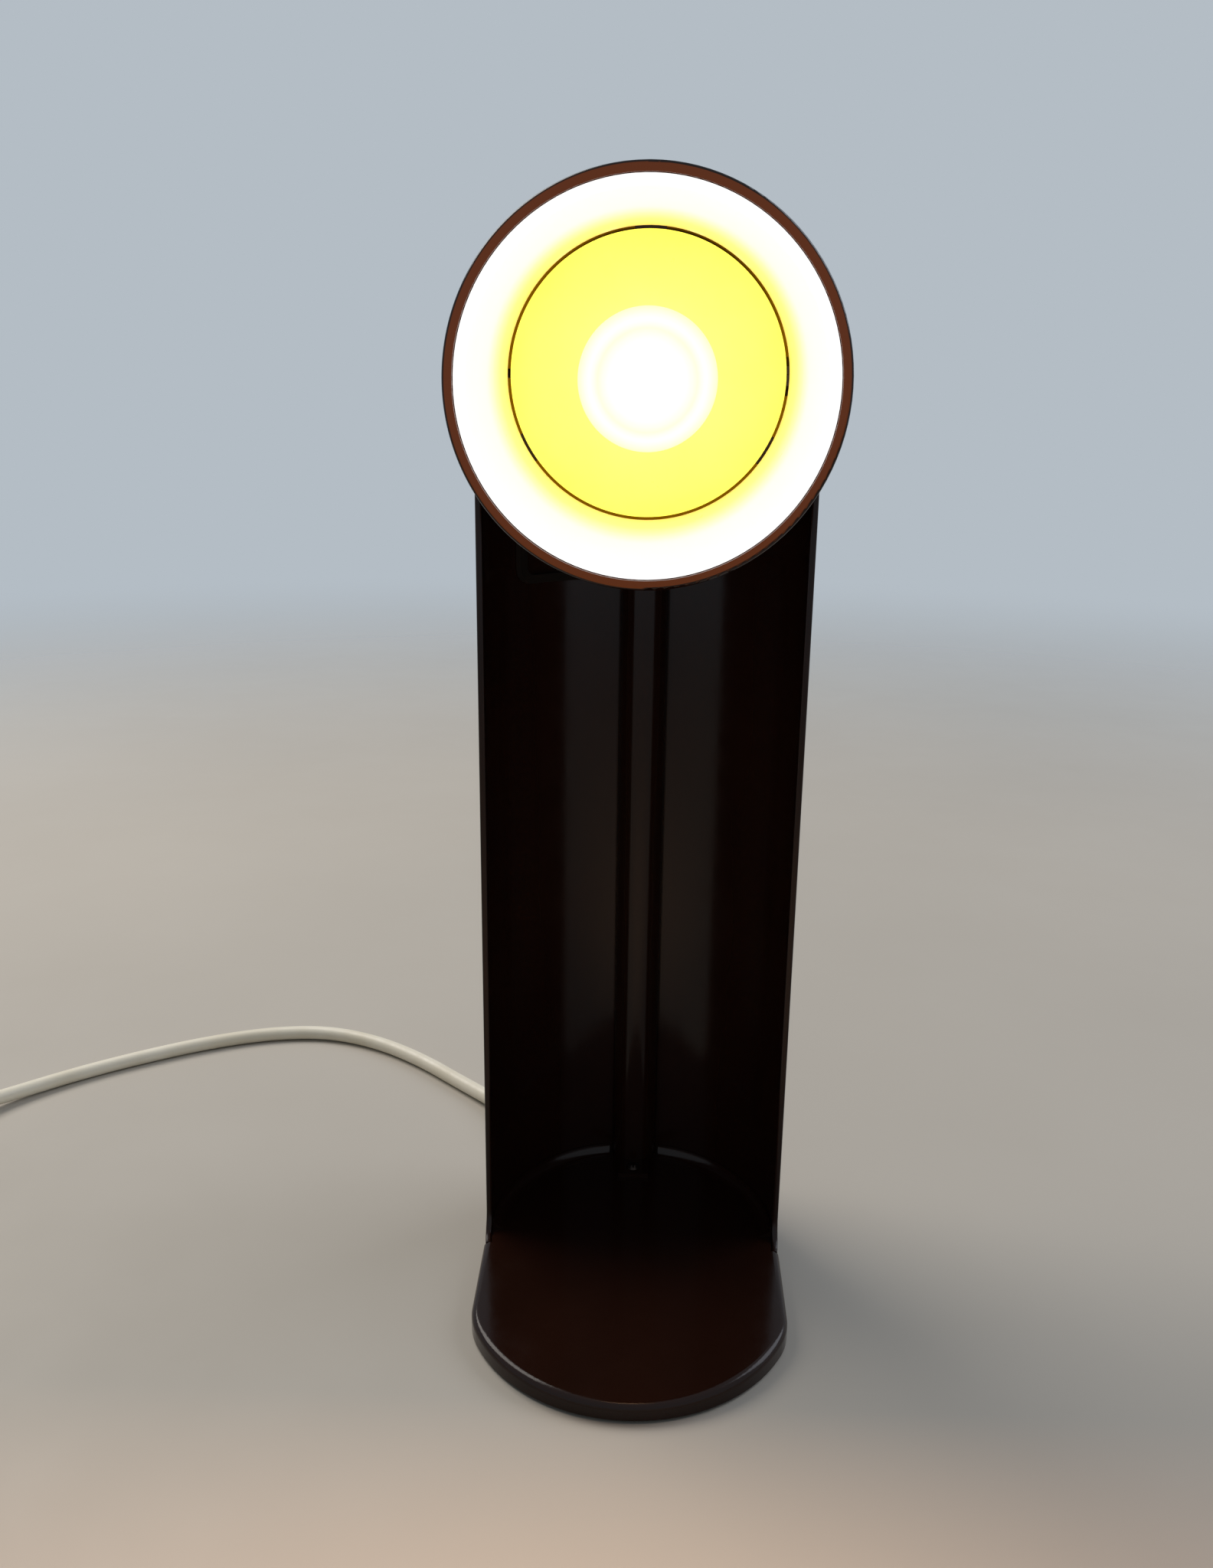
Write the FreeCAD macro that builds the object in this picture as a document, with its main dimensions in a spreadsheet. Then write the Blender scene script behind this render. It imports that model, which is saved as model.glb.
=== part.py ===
import FreeCAD, Part
import math
import os
from types import SimpleNamespace

import Sketcher
from FreeCAD import Placement, Rotation, Vector

# Driving sizes in millimetres. The head points along -Y, its pivot lies along X.
SIZES = {
    # Fits between pieces
    "seat_gap": 0.15,
    "running_gap": 0.05,
    "swing_gap": 0.5,
    # Back shell: a half tube with two ears
    "tube_radius": 55.0,
    "tube_wall": 2.2,
    "pivot_height": 320.0,
    "ear_radius": 10.0,
    "ear_blend": 12.0,
    "foot_flare": 8.0,
    "edge_round": 0.7,
    "shell_ledge": 4.5,
    # Base: half-round back, straight sides, rounded front, sloping top
    "base_front": 85.2,
    "front_bulge": 3.3,
    "front_corner": 27.0,
    "back_height": 12.0,
    "front_height": 6.8,
    "top_round": 2.4,
    "base_skin": 2.4,
    "rim_width": 4.6,
    "plate_inset": 2.2,
    "plate_recess": 0.2,
    "plate_thickness": 1.5,
    "foot_height": 1.4,
    "foot_radius": 5.5,
    "pillar_radius": 3.5,
    "ballast_gap": 6.0,
    "pillar_inset": 15.0,
    "pillar_setback": 6.0,
    "pillar_front": 15.2,
    "foot_inset": 21.0,
    "foot_back": 31.0,
    "toe_inset": 25.0,
    "toe_front": 29.2,
    "lip_width": 4.2,
    "lip_height": 4.2,
    "lip_land": 0.35,
    # Screws: countersunk and pan heads
    "screw_radius": 1.4,
    "screw_head_radius": 2.8,
    "screw_head_depth": 1.3,
    "slot_width": 0.7,
    "slot_depth": 0.6,
    "plate_screw_length": 4.4,
    "shell_screw_length": 8.0,
    "shell_screw_height": 7.2,
    # Cable duct on the inner back wall
    "duct_radius": 9.0,
    "duct_wall": 1.6,
    "duct_top": 248.0,
    "tab_length": 9.5,
    "tab_width": 12.0,
    "tab_thickness": 1.8,
    # Leads inside the lamp
    "lead_width": 3.0,
    "lead_thickness": 1.3,
    "lead_rise": 31.0,
    "block_depth": 11.0,
    "block_width": 28.0,
    "block_height": 5.4,
    "block_gap": 2.55,
    "core_radius": 1.4,
    # Head: a bullet about the pivot
    "head_gap": 1.8,
    "head_wall": 2.6,
    "head_reach": 88.0,
    "rim_round": 1.0,
    "seat_depth": 2.2,
    "seat_width": 1.4,
    "seat_length": 2.4,
    "vent_width": 3.0,
    "vent_height": 18.0,
    "vent_pitch": 8.0,
    "vent_top": 14.0,
    # Pivot: hollow boss on the left, screw on the right
    "boss_radius": 6.0,
    "boss_bore": 4.0,
    "boss_length": 7.5,
    "spot_radius": 7.3,
    "spot_depth": 0.9,
    "pivot_radius": 3.0,
    "ear_pad_radius": 9.0,
    "ear_pad": 0.9,
    "washer_thickness": 1.0,
    "head_pad": 4.4,
    "spring_thickness": 1.0,
    "nut_length": 4.8,
    "nut_radius": 5.8,
    # Reflector and its back plate
    "reflector_wall": 0.8,
    "cone_clear": 0.2,
    "cone_taper": 4.9,
    "plate_back": 25.0,
    "plate_wall": 1.0,
    "ring_gap": 0.9,
    "plate_hole": 15.0,
    "stud_inset": 6.1,
    "stud_radius": 1.5,
    "stud_length": 9.0,
    "lug_inset": 4.5,
    "lug_width": 9.0,
    "lug_length": 5.0,
    "stud_nut_radius": 3.1,
    "stud_nut_length": 2.4,
    # Socket, its bracket and the bulb
    "bracket_half": 18.0,
    "bracket_clear": 1.5,
    "bracket_wall": 1.2,
    "bracket_width": 12.0,
    "socket_radius": 13.0,
    "socket_front": 12.0,
    "socket_back": 24.0,
    "socket_bore": 7.35,
    "bore_end": 13.0,
    "stub_radius": 5.0,
    "stub_length": 7.0,
    "ring_nut_radius": 8.0,
    "ring_nut_length": 3.0,
    "thread_wall": 0.4,
    "thread_length": 17.0,
    "contact_length": 2.0,
    "contact_width": 5.0,
    "bulb_radius": 19.5,
    "bulb_front": 56.5,
    "bulb_dome": 26.0,
    "bulb_corner": 6.0,
    "bulb_back": 40.0,
    "bulb_waist": 17.0,
    "glass_wall": 0.9,
    "neck_radius": 6.2,
    "neck_end": 8.0,
    "cap_radius": 6.8,
    "cap_front": 12.0,
    "cap_end": 7.0,
    "cap_cone": 2.5,
    "tip_radius": 2.4,
    # Cord, strain relief, switch, tie and plug
    "cord_diameter": 6.5,
    "exit_height": 7.2,
    "relief_neck": 3.9,
    "relief_flange": 5.2,
    "relief_tip": 3.9,
    "relief_length": 24.0,
    "flange_length": 1.6,
    "groove_pitch": 3.6,
    "groove_width": 1.5,
    "groove_depth": 0.45,
    "coil_outer": 47.6,
    "coil_pitch": 7.2,
    "layer_pitch": 7.0,
    "coil_lift": 1.0,
    "tie_width": 8.0,
    "tie_wall": 0.8,
    "tie_gap": 0.6,
    "switch_length": 60.0,
    "switch_width": 24.0,
    "switch_corner": 8.0,
    "switch_split": 6.5,
    "switch_height": 14.0,
    "rocker_length": 18.8,
    "rocker_width": 10.2,
    "rocker_rise": 1.6,
    "rocker_dish": 30.0,
    "rocker_depth": 3.6,
    "rocker_pivot": 10.8,
    "rocker_pin": 1.0,
    "pocket_gap": 0.5,
    "pocket_depth": 5.8,
    "plug_width": 35.0,
    "plug_length": 36.0,
    "plug_nose": 26.0,
    "plug_tail": 10.0,
    "plug_height": 13.7,
    "plug_round": 2.0,
    "pin_radius": 2.0,
    "pin_length": 19.0,
    "pin_spacing": 18.6,
}

# Counts and angles
VENTS = 7
SHELL_SCREW_ANGLES = (28.0, 78.0, 152.0)
EXIT_ANGLE = 120.0
HEAD_TILT = 2.6
RELIEF_GROOVES = 5
LUG_ANGLES = (90.0, 210.0, 330.0)
TURNS_PER_LAYER = 2.75
CLIMB_TURN = 0.5
TIE_ANGLE = 200.0
MARGIN = 5.0

DOC = FreeCAD.newDocument("FlipTopLamp")
SHEET = DOC.addObject("Spreadsheet::Sheet", "Sizes")
NODES = []


class Dim:
    """A size that carries its number and the sheet expression that gives it."""

    def __init__(self, number, text):
        self.number = number
        self.text = text

    def __add__(self, other):
        other = dim(other)
        return Dim(self.number + other.number, f"({self.text} + {other.text})")

    def __sub__(self, other):
        other = dim(other)
        return Dim(self.number - other.number, f"({self.text} - {other.text})")

    def __mul__(self, other):
        other = dim(other)
        return Dim(self.number * other.number, f"({self.text} * {other.text})")

    def __truediv__(self, other):
        other = dim(other)
        return Dim(self.number / other.number, f"({self.text} / {other.text})")

    def __radd__(self, other):
        return dim(other) + self

    def __rsub__(self, other):
        return dim(other) - self

    def __rmul__(self, other):
        return dim(other) * self

    def __neg__(self):
        return Dim(-self.number, f"(0 - {self.text})")

    def root(self):
        """Gives the square root."""
        return Dim(math.sqrt(self.number), f"sqrt({self.text})")


def dim(value):
    """Gives a Dim for a plain number, and a Dim as it is."""
    if isinstance(value, Dim):
        return value
    return Dim(float(value), f"({float(value)})")


def fill_sheet():
    """Writes the driving sizes into the sheet and gives them back as Dims."""
    sizes = {}
    for row, (alias, value) in enumerate(SIZES.items(), start=1):
        SHEET.set(f"A{row}", alias)
        SHEET.set(f"B{row}", str(value))
        SHEET.setAlias(f"B{row}", alias)
        sizes[alias] = Dim(value, f"Sizes.{alias}")
    DOC.recompute()
    return SimpleNamespace(**sizes)


S = fill_sheet()

# Places that several pieces share
SHELL_INNER = S.tube_radius - S.tube_wall
FRONT_RADIUS = S.tube_radius + S.front_bulge
HEAD_RADIUS = SHELL_INNER - S.head_gap
HEAD_INNER = HEAD_RADIUS - S.head_wall
TILT_RUN = (S.head_reach - S.rim_round) * math.cos(math.radians(HEAD_TILT))
TILT_RISE = (HEAD_RADIUS - S.rim_round) * math.sin(math.radians(HEAD_TILT))
BACK_SHIFT = (TILT_RUN + TILT_RISE + S.rim_round - S.tube_radius) / 2
RIM_BOTTOM = S.foot_height - S.plate_recess
PLATE_TOP = S.foot_height + S.plate_thickness
EAR_FLAT = SHELL_INNER - S.ear_pad
HEAD_FLAT = EAR_FLAT - S.washer_thickness
PAD_INNER = HEAD_FLAT - S.head_pad
SPOT_FACE = S.tube_radius - S.spot_depth
CONE_SEAT = S.head_reach - S.seat_depth
CONE_FRONT = HEAD_INNER - S.seat_width - S.reflector_wall - S.cone_clear
CONE_BACK = CONE_FRONT - S.cone_taper
STUD_RING = CONE_BACK - S.stud_inset
LUG_REACH = STUD_RING - S.lug_inset
TAB_SCREW = SHELL_INNER - S.duct_radius - S.tab_length / 2
BLOCK_BACK = TAB_SCREW - S.pillar_radius - S.block_gap
BALLAST_BACK = BLOCK_BACK - S.block_depth - S.ballast_gap
CORD_RADIUS = S.cord_diameter / 2
SLOPE = (S.back_height - S.front_height) / (S.base_front + S.tube_radius)

TURN = {
    "X": Rotation(Vector(0, 1, 0), 90),
    "Y": Rotation(Vector(1, 0, 0), -90),
    "Z": Rotation(),
}
SIDE_ON = Rotation(Vector(1, 1, 1), 120)


def bind(item, prop, size):
    """Ties a property of an object to the sheet."""
    item.setExpression(prop, dim(size).text)


def put(item, at, turn=Rotation(), frame=None):
    """Places an object about the tube's axis, or in a frame of its own."""
    x, y, z = (dim(value) for value in at)
    if frame is not None:
        item.Placement = frame.multiply(Placement(Vector(x.number, y.number, z.number), turn))
        return item
    y = y + BACK_SHIFT
    item.Placement = Placement(Vector(x.number, y.number, z.number), turn)
    for axis, size in zip("xyz", (x, y, z)):
        bind(item, f".Placement.Base.{axis}", size)
    return item


def box(at, size, frame=None):
    """Makes a box from its low corner and its three sizes."""
    item = DOC.addObject("Part::Box", "box")
    for prop, value in zip(("Length", "Width", "Height"), size):
        bind(item, prop, value)
    return put(item, at, frame=frame)


def cylinder(at, radius, length, axis="Z", frame=None):
    """Makes a cylinder from the middle of its low end."""
    item = DOC.addObject("Part::Cylinder", "cylinder")
    bind(item, "Radius", radius)
    bind(item, "Height", length)
    return put(item, at, TURN[axis], frame)


def cone(at, start, end, length, axis="Z", frame=None):
    """Makes a cone from the middle of its low end."""
    item = DOC.addObject("Part::Cone", "cone")
    bind(item, "Radius1", start)
    bind(item, "Radius2", end)
    bind(item, "Height", length)
    return put(item, at, TURN[axis], frame)


def hexagon(at, radius, length, axis="Z", frame=None):
    """Makes a nut's body, six-sided, from the middle of its low end."""
    item = DOC.addObject("Part::Prism", "hexagon")
    item.Polygon = 6
    bind(item, "Circumradius", radius)
    bind(item, "Height", length)
    return put(item, at, TURN[axis], frame)


def fuse(*shapes):
    """Joins objects into one."""
    if len(shapes) == 1:
        return shapes[0]
    item = DOC.addObject("Part::MultiFuse", "joined")
    item.Shapes = list(shapes)
    return item


def common(*shapes):
    """Keeps what objects share."""
    item = DOC.addObject("Part::MultiCommon", "shared")
    item.Shapes = list(shapes)
    return item


def cut(base, *tools):
    """Takes tools away from an object."""
    item = DOC.addObject("Part::Cut", "trimmed")
    item.Base = base
    item.Tool = fuse(*tools)
    return item


def fix(sketch, kind, edge, point, size):
    """Holds one coordinate of a point of a sketch at a size from the sheet."""
    index = sketch.addConstraint(Sketcher.Constraint(kind, edge, point, dim(size).number))
    sketch.renameConstraint(index, f"size{index}")
    bind(sketch, f"Constraints.size{index}", size)


def outline(body, start, steps):
    """Draws a closed outline. A step is (end,) for a line or (end, centre, way) for an arc.

    The way is 1 for an arc that runs counter-clockwise and -1 for one that runs clockwise.
    """
    sketch = body.newObject("Sketcher::SketchObject", "outline")
    plane = next(item for item in body.Origin.OriginFeatures if item.Role == "XY_Plane")
    sketch.AttachmentSupport = [(plane, "")]
    sketch.MapMode = "FlatFace"
    spot = lambda point: Vector(dim(point[0]).number, dim(point[1]).number, 0)
    edges = []
    here = start
    for step in steps:
        first, last = spot(here), spot(step[0])
        if len(step) == 1:
            edges.append((sketch.addGeometry(Part.LineSegment(first, last)), 1, 2))
        else:
            middle = spot(step[1])
            low, high = (first, last) if step[2] > 0 else (last, first)
            angles = [math.atan2(end.y - middle.y, end.x - middle.x) for end in (low, high)]
            circle = Part.Circle(middle, Vector(0, 0, 1), (first - middle).Length)
            arc = Part.ArcOfCircle(circle, *angles)
            edges.append((sketch.addGeometry(arc), *((1, 2) if step[2] > 0 else (2, 1))))
        here = step[0]
    here = start
    for number, step in enumerate(steps):
        edge, head, tail = edges[number]
        following = edges[(number + 1) % len(edges)]
        sketch.addConstraint(Sketcher.Constraint("Coincident", edge, tail, following[0], following[1]))
        fix(sketch, "DistanceX", edge, head, here[0])
        fix(sketch, "DistanceY", edge, head, here[1])
        if len(step) > 1:
            across = spot(step[0]) - spot(here)
            level = abs(across.x) > abs(across.y)
            fix(sketch, "DistanceY" if level else "DistanceX", edge, 3, step[1][1 if level else 0])
        here = step[0]
    return sketch


def pad(start, steps, length, at, turn=Rotation(), frame=None):
    """Makes a body of one depth from an outline."""
    body = DOC.addObject("PartDesign::Body", "padded")
    sketch = outline(body, start, steps)
    feature = body.newObject("PartDesign::Pad", "depth")
    feature.Profile = sketch
    bind(feature, "Length", length)
    return put(body, at, turn, frame)


def revolve(start, steps, at, turn=Rotation(), frame=None):
    """Makes a round body about its Y axis from half an outline."""
    body = DOC.addObject("PartDesign::Body", "turned")
    sketch = outline(body, start, steps)
    feature = body.newObject("PartDesign::Revolution", "turn")
    feature.Profile = sketch
    feature.ReferenceAxis = (sketch, ["V_Axis"])
    feature.Angle = 360
    return put(body, at, turn, frame)


def rounded(item, radius, chosen):
    """Rounds the edges of an object that a test chooses."""
    DOC.recompute()
    feature = DOC.addObject("Part::Fillet", "rounded")
    feature.Base = item
    edges = [i for i, edge in enumerate(item.Shape.Edges, start=1) if chosen(edge)]
    feature.Edges = [(i, radius.number, radius.number) for i in edges]
    return feature


def node(label, item):
    """Names a sub-part."""
    item.Label = label
    NODES.append(item)
    return item


def tilted(item):
    """Turns a piece of the head about the pivot to the angle at which the head stands at rest."""
    pivot = Vector(0, BACK_SHIFT.number, S.pivot_height.number)
    turn = Placement(Vector(), Rotation(Vector(1, 0, 0), HEAD_TILT), pivot)
    item.Placement = turn.multiply(item.Placement)
    return item


def solid_node(label, shape):
    """Names a sub-part whose shape is swept along a free route."""
    item = DOC.addObject("Part::Feature", label)
    item.Shape = shape
    item.Placement = Placement()
    return node(label, item)


def lines(*points):
    """Gives outline steps for a row of straight lines."""
    return [(point,) for point in points]


def radial(angle, height):
    """Gives the frame whose X axis points out from the tube's axis at an angle."""
    return Placement(Vector(0, BACK_SHIFT.number, dim(height).number), Rotation(Vector(0, 0, 1), angle))


def about_face(angle):
    """Gives the frame at the pivot whose X axis points out from the head's axis at an angle."""
    at = Vector(0, BACK_SHIFT.number, S.pivot_height.number)
    return Placement(at, Rotation(Vector(0, 1, 0), -angle))


def top_at(y):
    """Gives the height of the base's sloping top."""
    return S.front_height + SLOPE * (y + S.base_front)


def plan(inset, bottom, height):
    """Makes a slab with the base's plan, drawn in by an inset."""
    half = S.tube_radius - inset
    corner = S.front_corner - inset
    front = FRONT_RADIUS - inset
    middle = FRONT_RADIUS - S.base_front
    reach = FRONT_RADIUS - S.front_corner
    side = S.tube_radius - S.front_corner
    drop = (reach * reach - side * side).root()
    bend = middle - drop
    share = front / reach
    touch_x = side * share
    touch_y = middle - drop * share
    steps = [
        ((-half, 0), (0, 0), 1),
        ((-half, bend),),
        ((-touch_x, touch_y), (-side, bend), 1),
        ((touch_x, touch_y), (0, middle), 1),
        ((half, bend), (side, bend), 1),
        ((half, 0),),
    ]
    return pad((half, 0), steps, height, (0, 0, bottom))


def wedge(drop):
    """Makes all that lies under the base's top, lowered by a drop."""
    front = -(S.base_front + MARGIN)
    back = S.tube_radius + MARGIN
    half = S.tube_radius + MARGIN
    start = (front, -MARGIN)
    steps = lines((back, -MARGIN), (back, top_at(back) - drop), (front, top_at(front) - drop), start)
    return pad(start, steps, half * 2, (-half, 0, 0), SIDE_ON)


def screw(at, length, axis="Z", frame=None):
    """Makes a countersunk screw from the middle of its flat head."""
    head = cone(at, S.screw_head_radius, S.screw_radius, S.screw_head_depth, axis, frame)
    return fuse(head, cylinder(at, S.screw_radius, length, axis, frame))


def slotted_screw(at, length, axis="Z", frame=None):
    """Makes a countersunk screw with a slot across its head."""
    x, y, z = at
    reach = S.screw_head_radius
    half = S.slot_width / 2
    deep = S.slot_depth + 1
    if axis == "X":
        slot = box((x - 1, y - half, z - reach), (deep, S.slot_width, reach * 2), frame)
    else:
        slot = box((x - half, y - reach, z - 1), (S.slot_width, reach * 2, deep), frame)
    return cut(screw(at, length, axis, frame), slot)


def pair(x, y):
    """Gives a place on both sides of the lamp."""
    return (-x, y), (x, y)


PILLARS = ((0, S.pillar_front - S.base_front),
           *pair(S.tube_radius - S.pillar_inset, BALLAST_BACK - S.pillar_setback))
FEET = (*pair(S.tube_radius - S.foot_inset, S.tube_radius - S.foot_back),
        *pair(S.tube_radius - S.toe_inset, S.toe_front - S.base_front))


def shell_screw_frames():
    """Gives the frames of the shell's screws, each pointing inward from the shell's outside."""
    frames = []
    for angle in SHELL_SCREW_ANGLES:
        frame = radial(angle, S.shell_screw_height)
        inward = Placement(Vector(S.tube_radius.number, 0, 0), Rotation(Vector(0, 0, 1), 180))
        frames.append(frame.multiply(inward))
    return frames


def shell_lip():
    """Makes the hollow-sided lip on the base that locates the shell, with a gap for the duct."""
    tall = S.back_height * 2
    wide = S.tube_radius + MARGIN
    outer = SHELL_INNER - S.seat_gap
    inner = outer - S.lip_width
    ring = cut(cylinder((0, 0, 0), outer, tall), cylinder((0, 0, 0), inner, tall))
    back = box((-wide, 0, PLATE_TOP), (wide * 2, wide, tall))
    gap = S.duct_radius + 1
    doorway = box((-gap, 0, 0), (gap * 2, wide, tall))
    hollow = DOC.addObject("Part::Torus", "hollow")
    bind(hollow, "Radius1", inner)
    bind(hollow, "Radius2", S.lip_width - S.lip_land)
    lean = Rotation(Vector(1, 0, 0), math.degrees(math.atan(SLOPE.number)))
    put(hollow, (0, 0, top_at(dim(0)) + S.lip_height), lean)
    return cut(common(ring, back, wedge(-S.lip_height)), doorway, hollow, wedge(S.base_skin / 2))


def base_housing():
    """The moulded base: a thin hollow wedge with a rebate for the shell."""
    tall = S.back_height + MARGIN
    whole = common(plan(0, RIM_BOTTOM, tall), wedge(0))
    level = lambda point: top_at(point.y - BACK_SHIFT.number).number
    on_top = lambda edge: all(abs(v.Point.z - level(v.Point)) < 0.01 for v in edge.Vertexes)
    body = rounded(whole, S.top_round, on_top)
    body = cut(body, common(plan(S.rim_width, 0, tall), wedge(S.base_skin)))
    body = cut(body, plan(S.plate_inset, 0, PLATE_TOP))
    bosses = [cylinder((x, y, PLATE_TOP), S.pillar_radius, tall) for x, y in PILLARS]
    bosses.append(cylinder((0, TAB_SCREW, S.shell_screw_height), S.pillar_radius, tall))
    inside = common(fuse(*bosses), wedge(S.base_skin / 2))
    sleeves = []
    holes = []
    for frame in shell_screw_frames():
        inner = (S.tube_wall + 1, 0, 0)
        sleeves.append(cylinder(inner, S.screw_radius * 2, S.shell_screw_length, "X", frame))
        holes.append(screw((0, 0, 0), S.shell_screw_length, "X", frame))
    body = fuse(body, inside, common(fuse(*sleeves), wedge(S.base_skin / 2)), shell_lip())
    wide = S.tube_radius + MARGIN
    outside = box((-wide, -S.foot_flare - S.seat_gap, S.shell_ledge), (wide * 2, wide * 2, tall))
    rebate = cut(outside, cylinder((0, 0, 0), SHELL_INNER - S.seat_gap, tall * 2))
    exit_hole = cylinder((HEAD_INNER - MARGIN, 0, 0), S.relief_neck + S.seat_gap, MARGIN * 4, "X",
                         radial(EXIT_ANGLE, S.exit_height))
    pilots = [cylinder((x, y, 0), S.screw_radius + S.running_gap, S.foot_height + S.plate_screw_length)
              for x, y in PILLARS]
    tab_pilot = cylinder((0, TAB_SCREW, S.shell_screw_height), S.screw_radius + S.running_gap, tall)
    slot_back = lead_plane() + S.lead_thickness + 1
    slot_wide = S.lead_width + 2
    slot = box((-slot_wide / 2, lead_plane() - 1, PLATE_TOP), (slot_wide, slot_back - lead_plane() + 1, tall))
    return node("base_housing", cut(body, rebate, exit_hole, tab_pilot, slot, *pilots, *holes))


def lead_plane():
    """Gives the front of the lead in the duct."""
    return SHELL_INNER - S.duct_radius + S.duct_wall + 2


def base_fittings():
    """The steel plate under the base with its screws, feet and ballast."""
    plate = plan(S.plate_inset + S.seat_gap, S.foot_height, S.plate_thickness)
    sinks = [screw((x, y, S.foot_height), S.plate_screw_length) for x, y in PILLARS]
    node("base_plate", cut(plate, *sinks))
    screws = [slotted_screw((x, y, S.foot_height), S.plate_screw_length) for x, y in PILLARS]
    node("base_plate_screws", fuse(*screws))
    feet = [cone((x, y, 0), S.foot_radius * 0.9, S.foot_radius, S.foot_height) for x, y in FEET]
    node("rubber_feet", fuse(*feet))
    inset = S.rim_width + S.swing_gap
    block = common(plan(inset, PLATE_TOP, S.back_height), wedge(S.base_skin + S.swing_gap))
    wide = S.tube_radius + MARGIN
    behind = box((-wide, BALLAST_BACK, 0), (wide * 2, wide, S.back_height * 2))
    wells = [cylinder((x, y, 0), S.pillar_radius + S.swing_gap, S.back_height * 2) for x, y in PILLARS]
    node("ballast_weight", cut(block, behind, *wells))


def side_profile():
    """Makes the shell's side view as a body across the whole tube."""
    far = S.tube_radius + 1
    top = S.pivot_height + S.ear_radius
    reach = S.ear_blend + S.ear_radius
    rise = (reach * reach - S.ear_blend * S.ear_blend).root()
    blend_at = S.pivot_height - rise
    touch = (-(S.ear_radius * S.ear_blend / reach), S.pivot_height - S.ear_radius * rise / reach)
    flare = S.foot_flare
    low = top_at(-flare)
    start = (-flare, S.shell_ledge)
    steps = [
        ((far, S.shell_ledge),),
        ((far, top),),
        ((0, top),),
        (touch, (0, S.pivot_height), 1),
        ((0, blend_at), (-S.ear_blend, blend_at), -1),
        ((0, low + flare),),
        ((-flare, low), (-flare, low + flare), -1),
        (start,),
    ]
    half = S.tube_radius + 1
    return pad(start, steps, half * 2, (-half, 0, 0), SIDE_ON)


def is_across(edge):
    """Tells whether an edge runs straight through the shell's wall."""
    return abs(edge.Length - S.tube_wall.number) < S.tube_wall.number / 2


def back_shell():
    """The half tube that stands on the base, with a hollow boss and a pad on its ears."""
    top = S.pivot_height + S.ear_radius + 1
    front = radial(-90, 0)
    ring = cut(cylinder((0, 0, 0), S.tube_radius, top, frame=front),
               cylinder((0, 0, 0), SHELL_INNER, top, frame=front))
    above = top_at(-S.foot_flare).number - 0.01
    upper = lambda edge: min(v.Point.z for v in edge.Vertexes) > above and not is_across(edge)
    wall = rounded(common(ring, side_profile()), S.edge_round, upper)
    root = SHELL_INNER + S.tube_wall / 2
    boss = cylinder((-root, 0, S.pivot_height), S.boss_radius, S.boss_length, "X")
    ear = cylinder((EAR_FLAT, 0, S.pivot_height), S.ear_pad_radius, root - EAR_FLAT, "X")
    bore = cylinder((-root - MARGIN, 0, S.pivot_height), S.boss_bore, S.boss_length + MARGIN * 2, "X")
    left_spot = cylinder((-SPOT_FACE - MARGIN, 0, S.pivot_height), S.spot_radius, MARGIN, "X")
    hole = cylinder((EAR_FLAT - 1, 0, S.pivot_height), S.pivot_radius + S.running_gap, MARGIN * 2, "X")
    right_spot = cylinder((SPOT_FACE, 0, S.pivot_height), S.spot_radius, MARGIN, "X")
    window_deep = S.lead_thickness + S.seat_gap * 4
    window_high = S.lead_width + S.seat_gap * 2
    window = box((-SHELL_INNER, 0, S.pivot_height - window_high / 2),
                 (window_deep, S.boss_radius + 1, window_high))
    exit_hole = cylinder((HEAD_INNER, 0, 0), S.relief_neck + S.seat_gap, MARGIN * 3, "X",
                         radial(EXIT_ANGLE, S.exit_height))
    sinks = [screw((0, 0, 0), S.shell_screw_length, "X", frame) for frame in shell_screw_frames()]
    openings = (bore, left_spot, hole, right_spot, window, exit_hole)
    node("back_shell", cut(fuse(wall, boss, ear), *openings, *sinks))
    screws = [slotted_screw((0, 0, 0), S.shell_screw_length, "X", frame) for frame in shell_screw_frames()]
    node("shell_screws", fuse(*screws))
    flange = cylinder((-SPOT_FACE - S.spot_depth, 0, S.pivot_height), S.spot_radius - S.seat_gap,
                      S.spot_depth, "X")
    stem = cylinder((-SPOT_FACE, 0, S.pivot_height), S.boss_bore - S.running_gap, S.spot_depth, "X")
    node("pivot_cap", fuse(flange, stem))


def cable_duct():
    """The half-round cover on the inner back wall, its foot tab and its screw."""
    gap = S.seat_gap
    middle = SHELL_INNER - gap
    tube = cut(cylinder((0, middle, 0), S.duct_radius, S.duct_top),
               cylinder((0, middle, 0), S.duct_radius - S.duct_wall, S.duct_top))
    cover = common(tube, cylinder((0, 0, 0), middle, S.duct_top))
    front = SHELL_INNER - S.duct_radius - S.tab_length
    strip = box((-S.tab_width / 2, front, 0), (S.tab_width, S.tab_length + S.duct_wall, S.back_height * 2))
    tab = common(strip, wedge(-S.tab_thickness))
    hole = cylinder((0, TAB_SCREW, 0), S.screw_radius + S.running_gap, S.back_height * 2)
    node("cable_duct", cut(fuse(cover, tab), wedge(0), hole))
    head_at = top_at(TAB_SCREW) + S.tab_thickness + gap
    shank = cylinder((0, TAB_SCREW, S.shell_screw_height), S.screw_radius, head_at - S.shell_screw_height)
    head = cone((0, TAB_SCREW, head_at), S.screw_head_radius, S.screw_radius, S.screw_head_depth)
    slot_at = head_at + S.screw_head_depth - S.slot_depth
    slot = box((-S.slot_width / 2, TAB_SCREW - S.screw_head_radius, slot_at),
               (S.slot_width, S.screw_head_radius * 2, S.screw_head_depth))
    node("duct_screw", cut(fuse(shank, head), slot))


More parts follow.
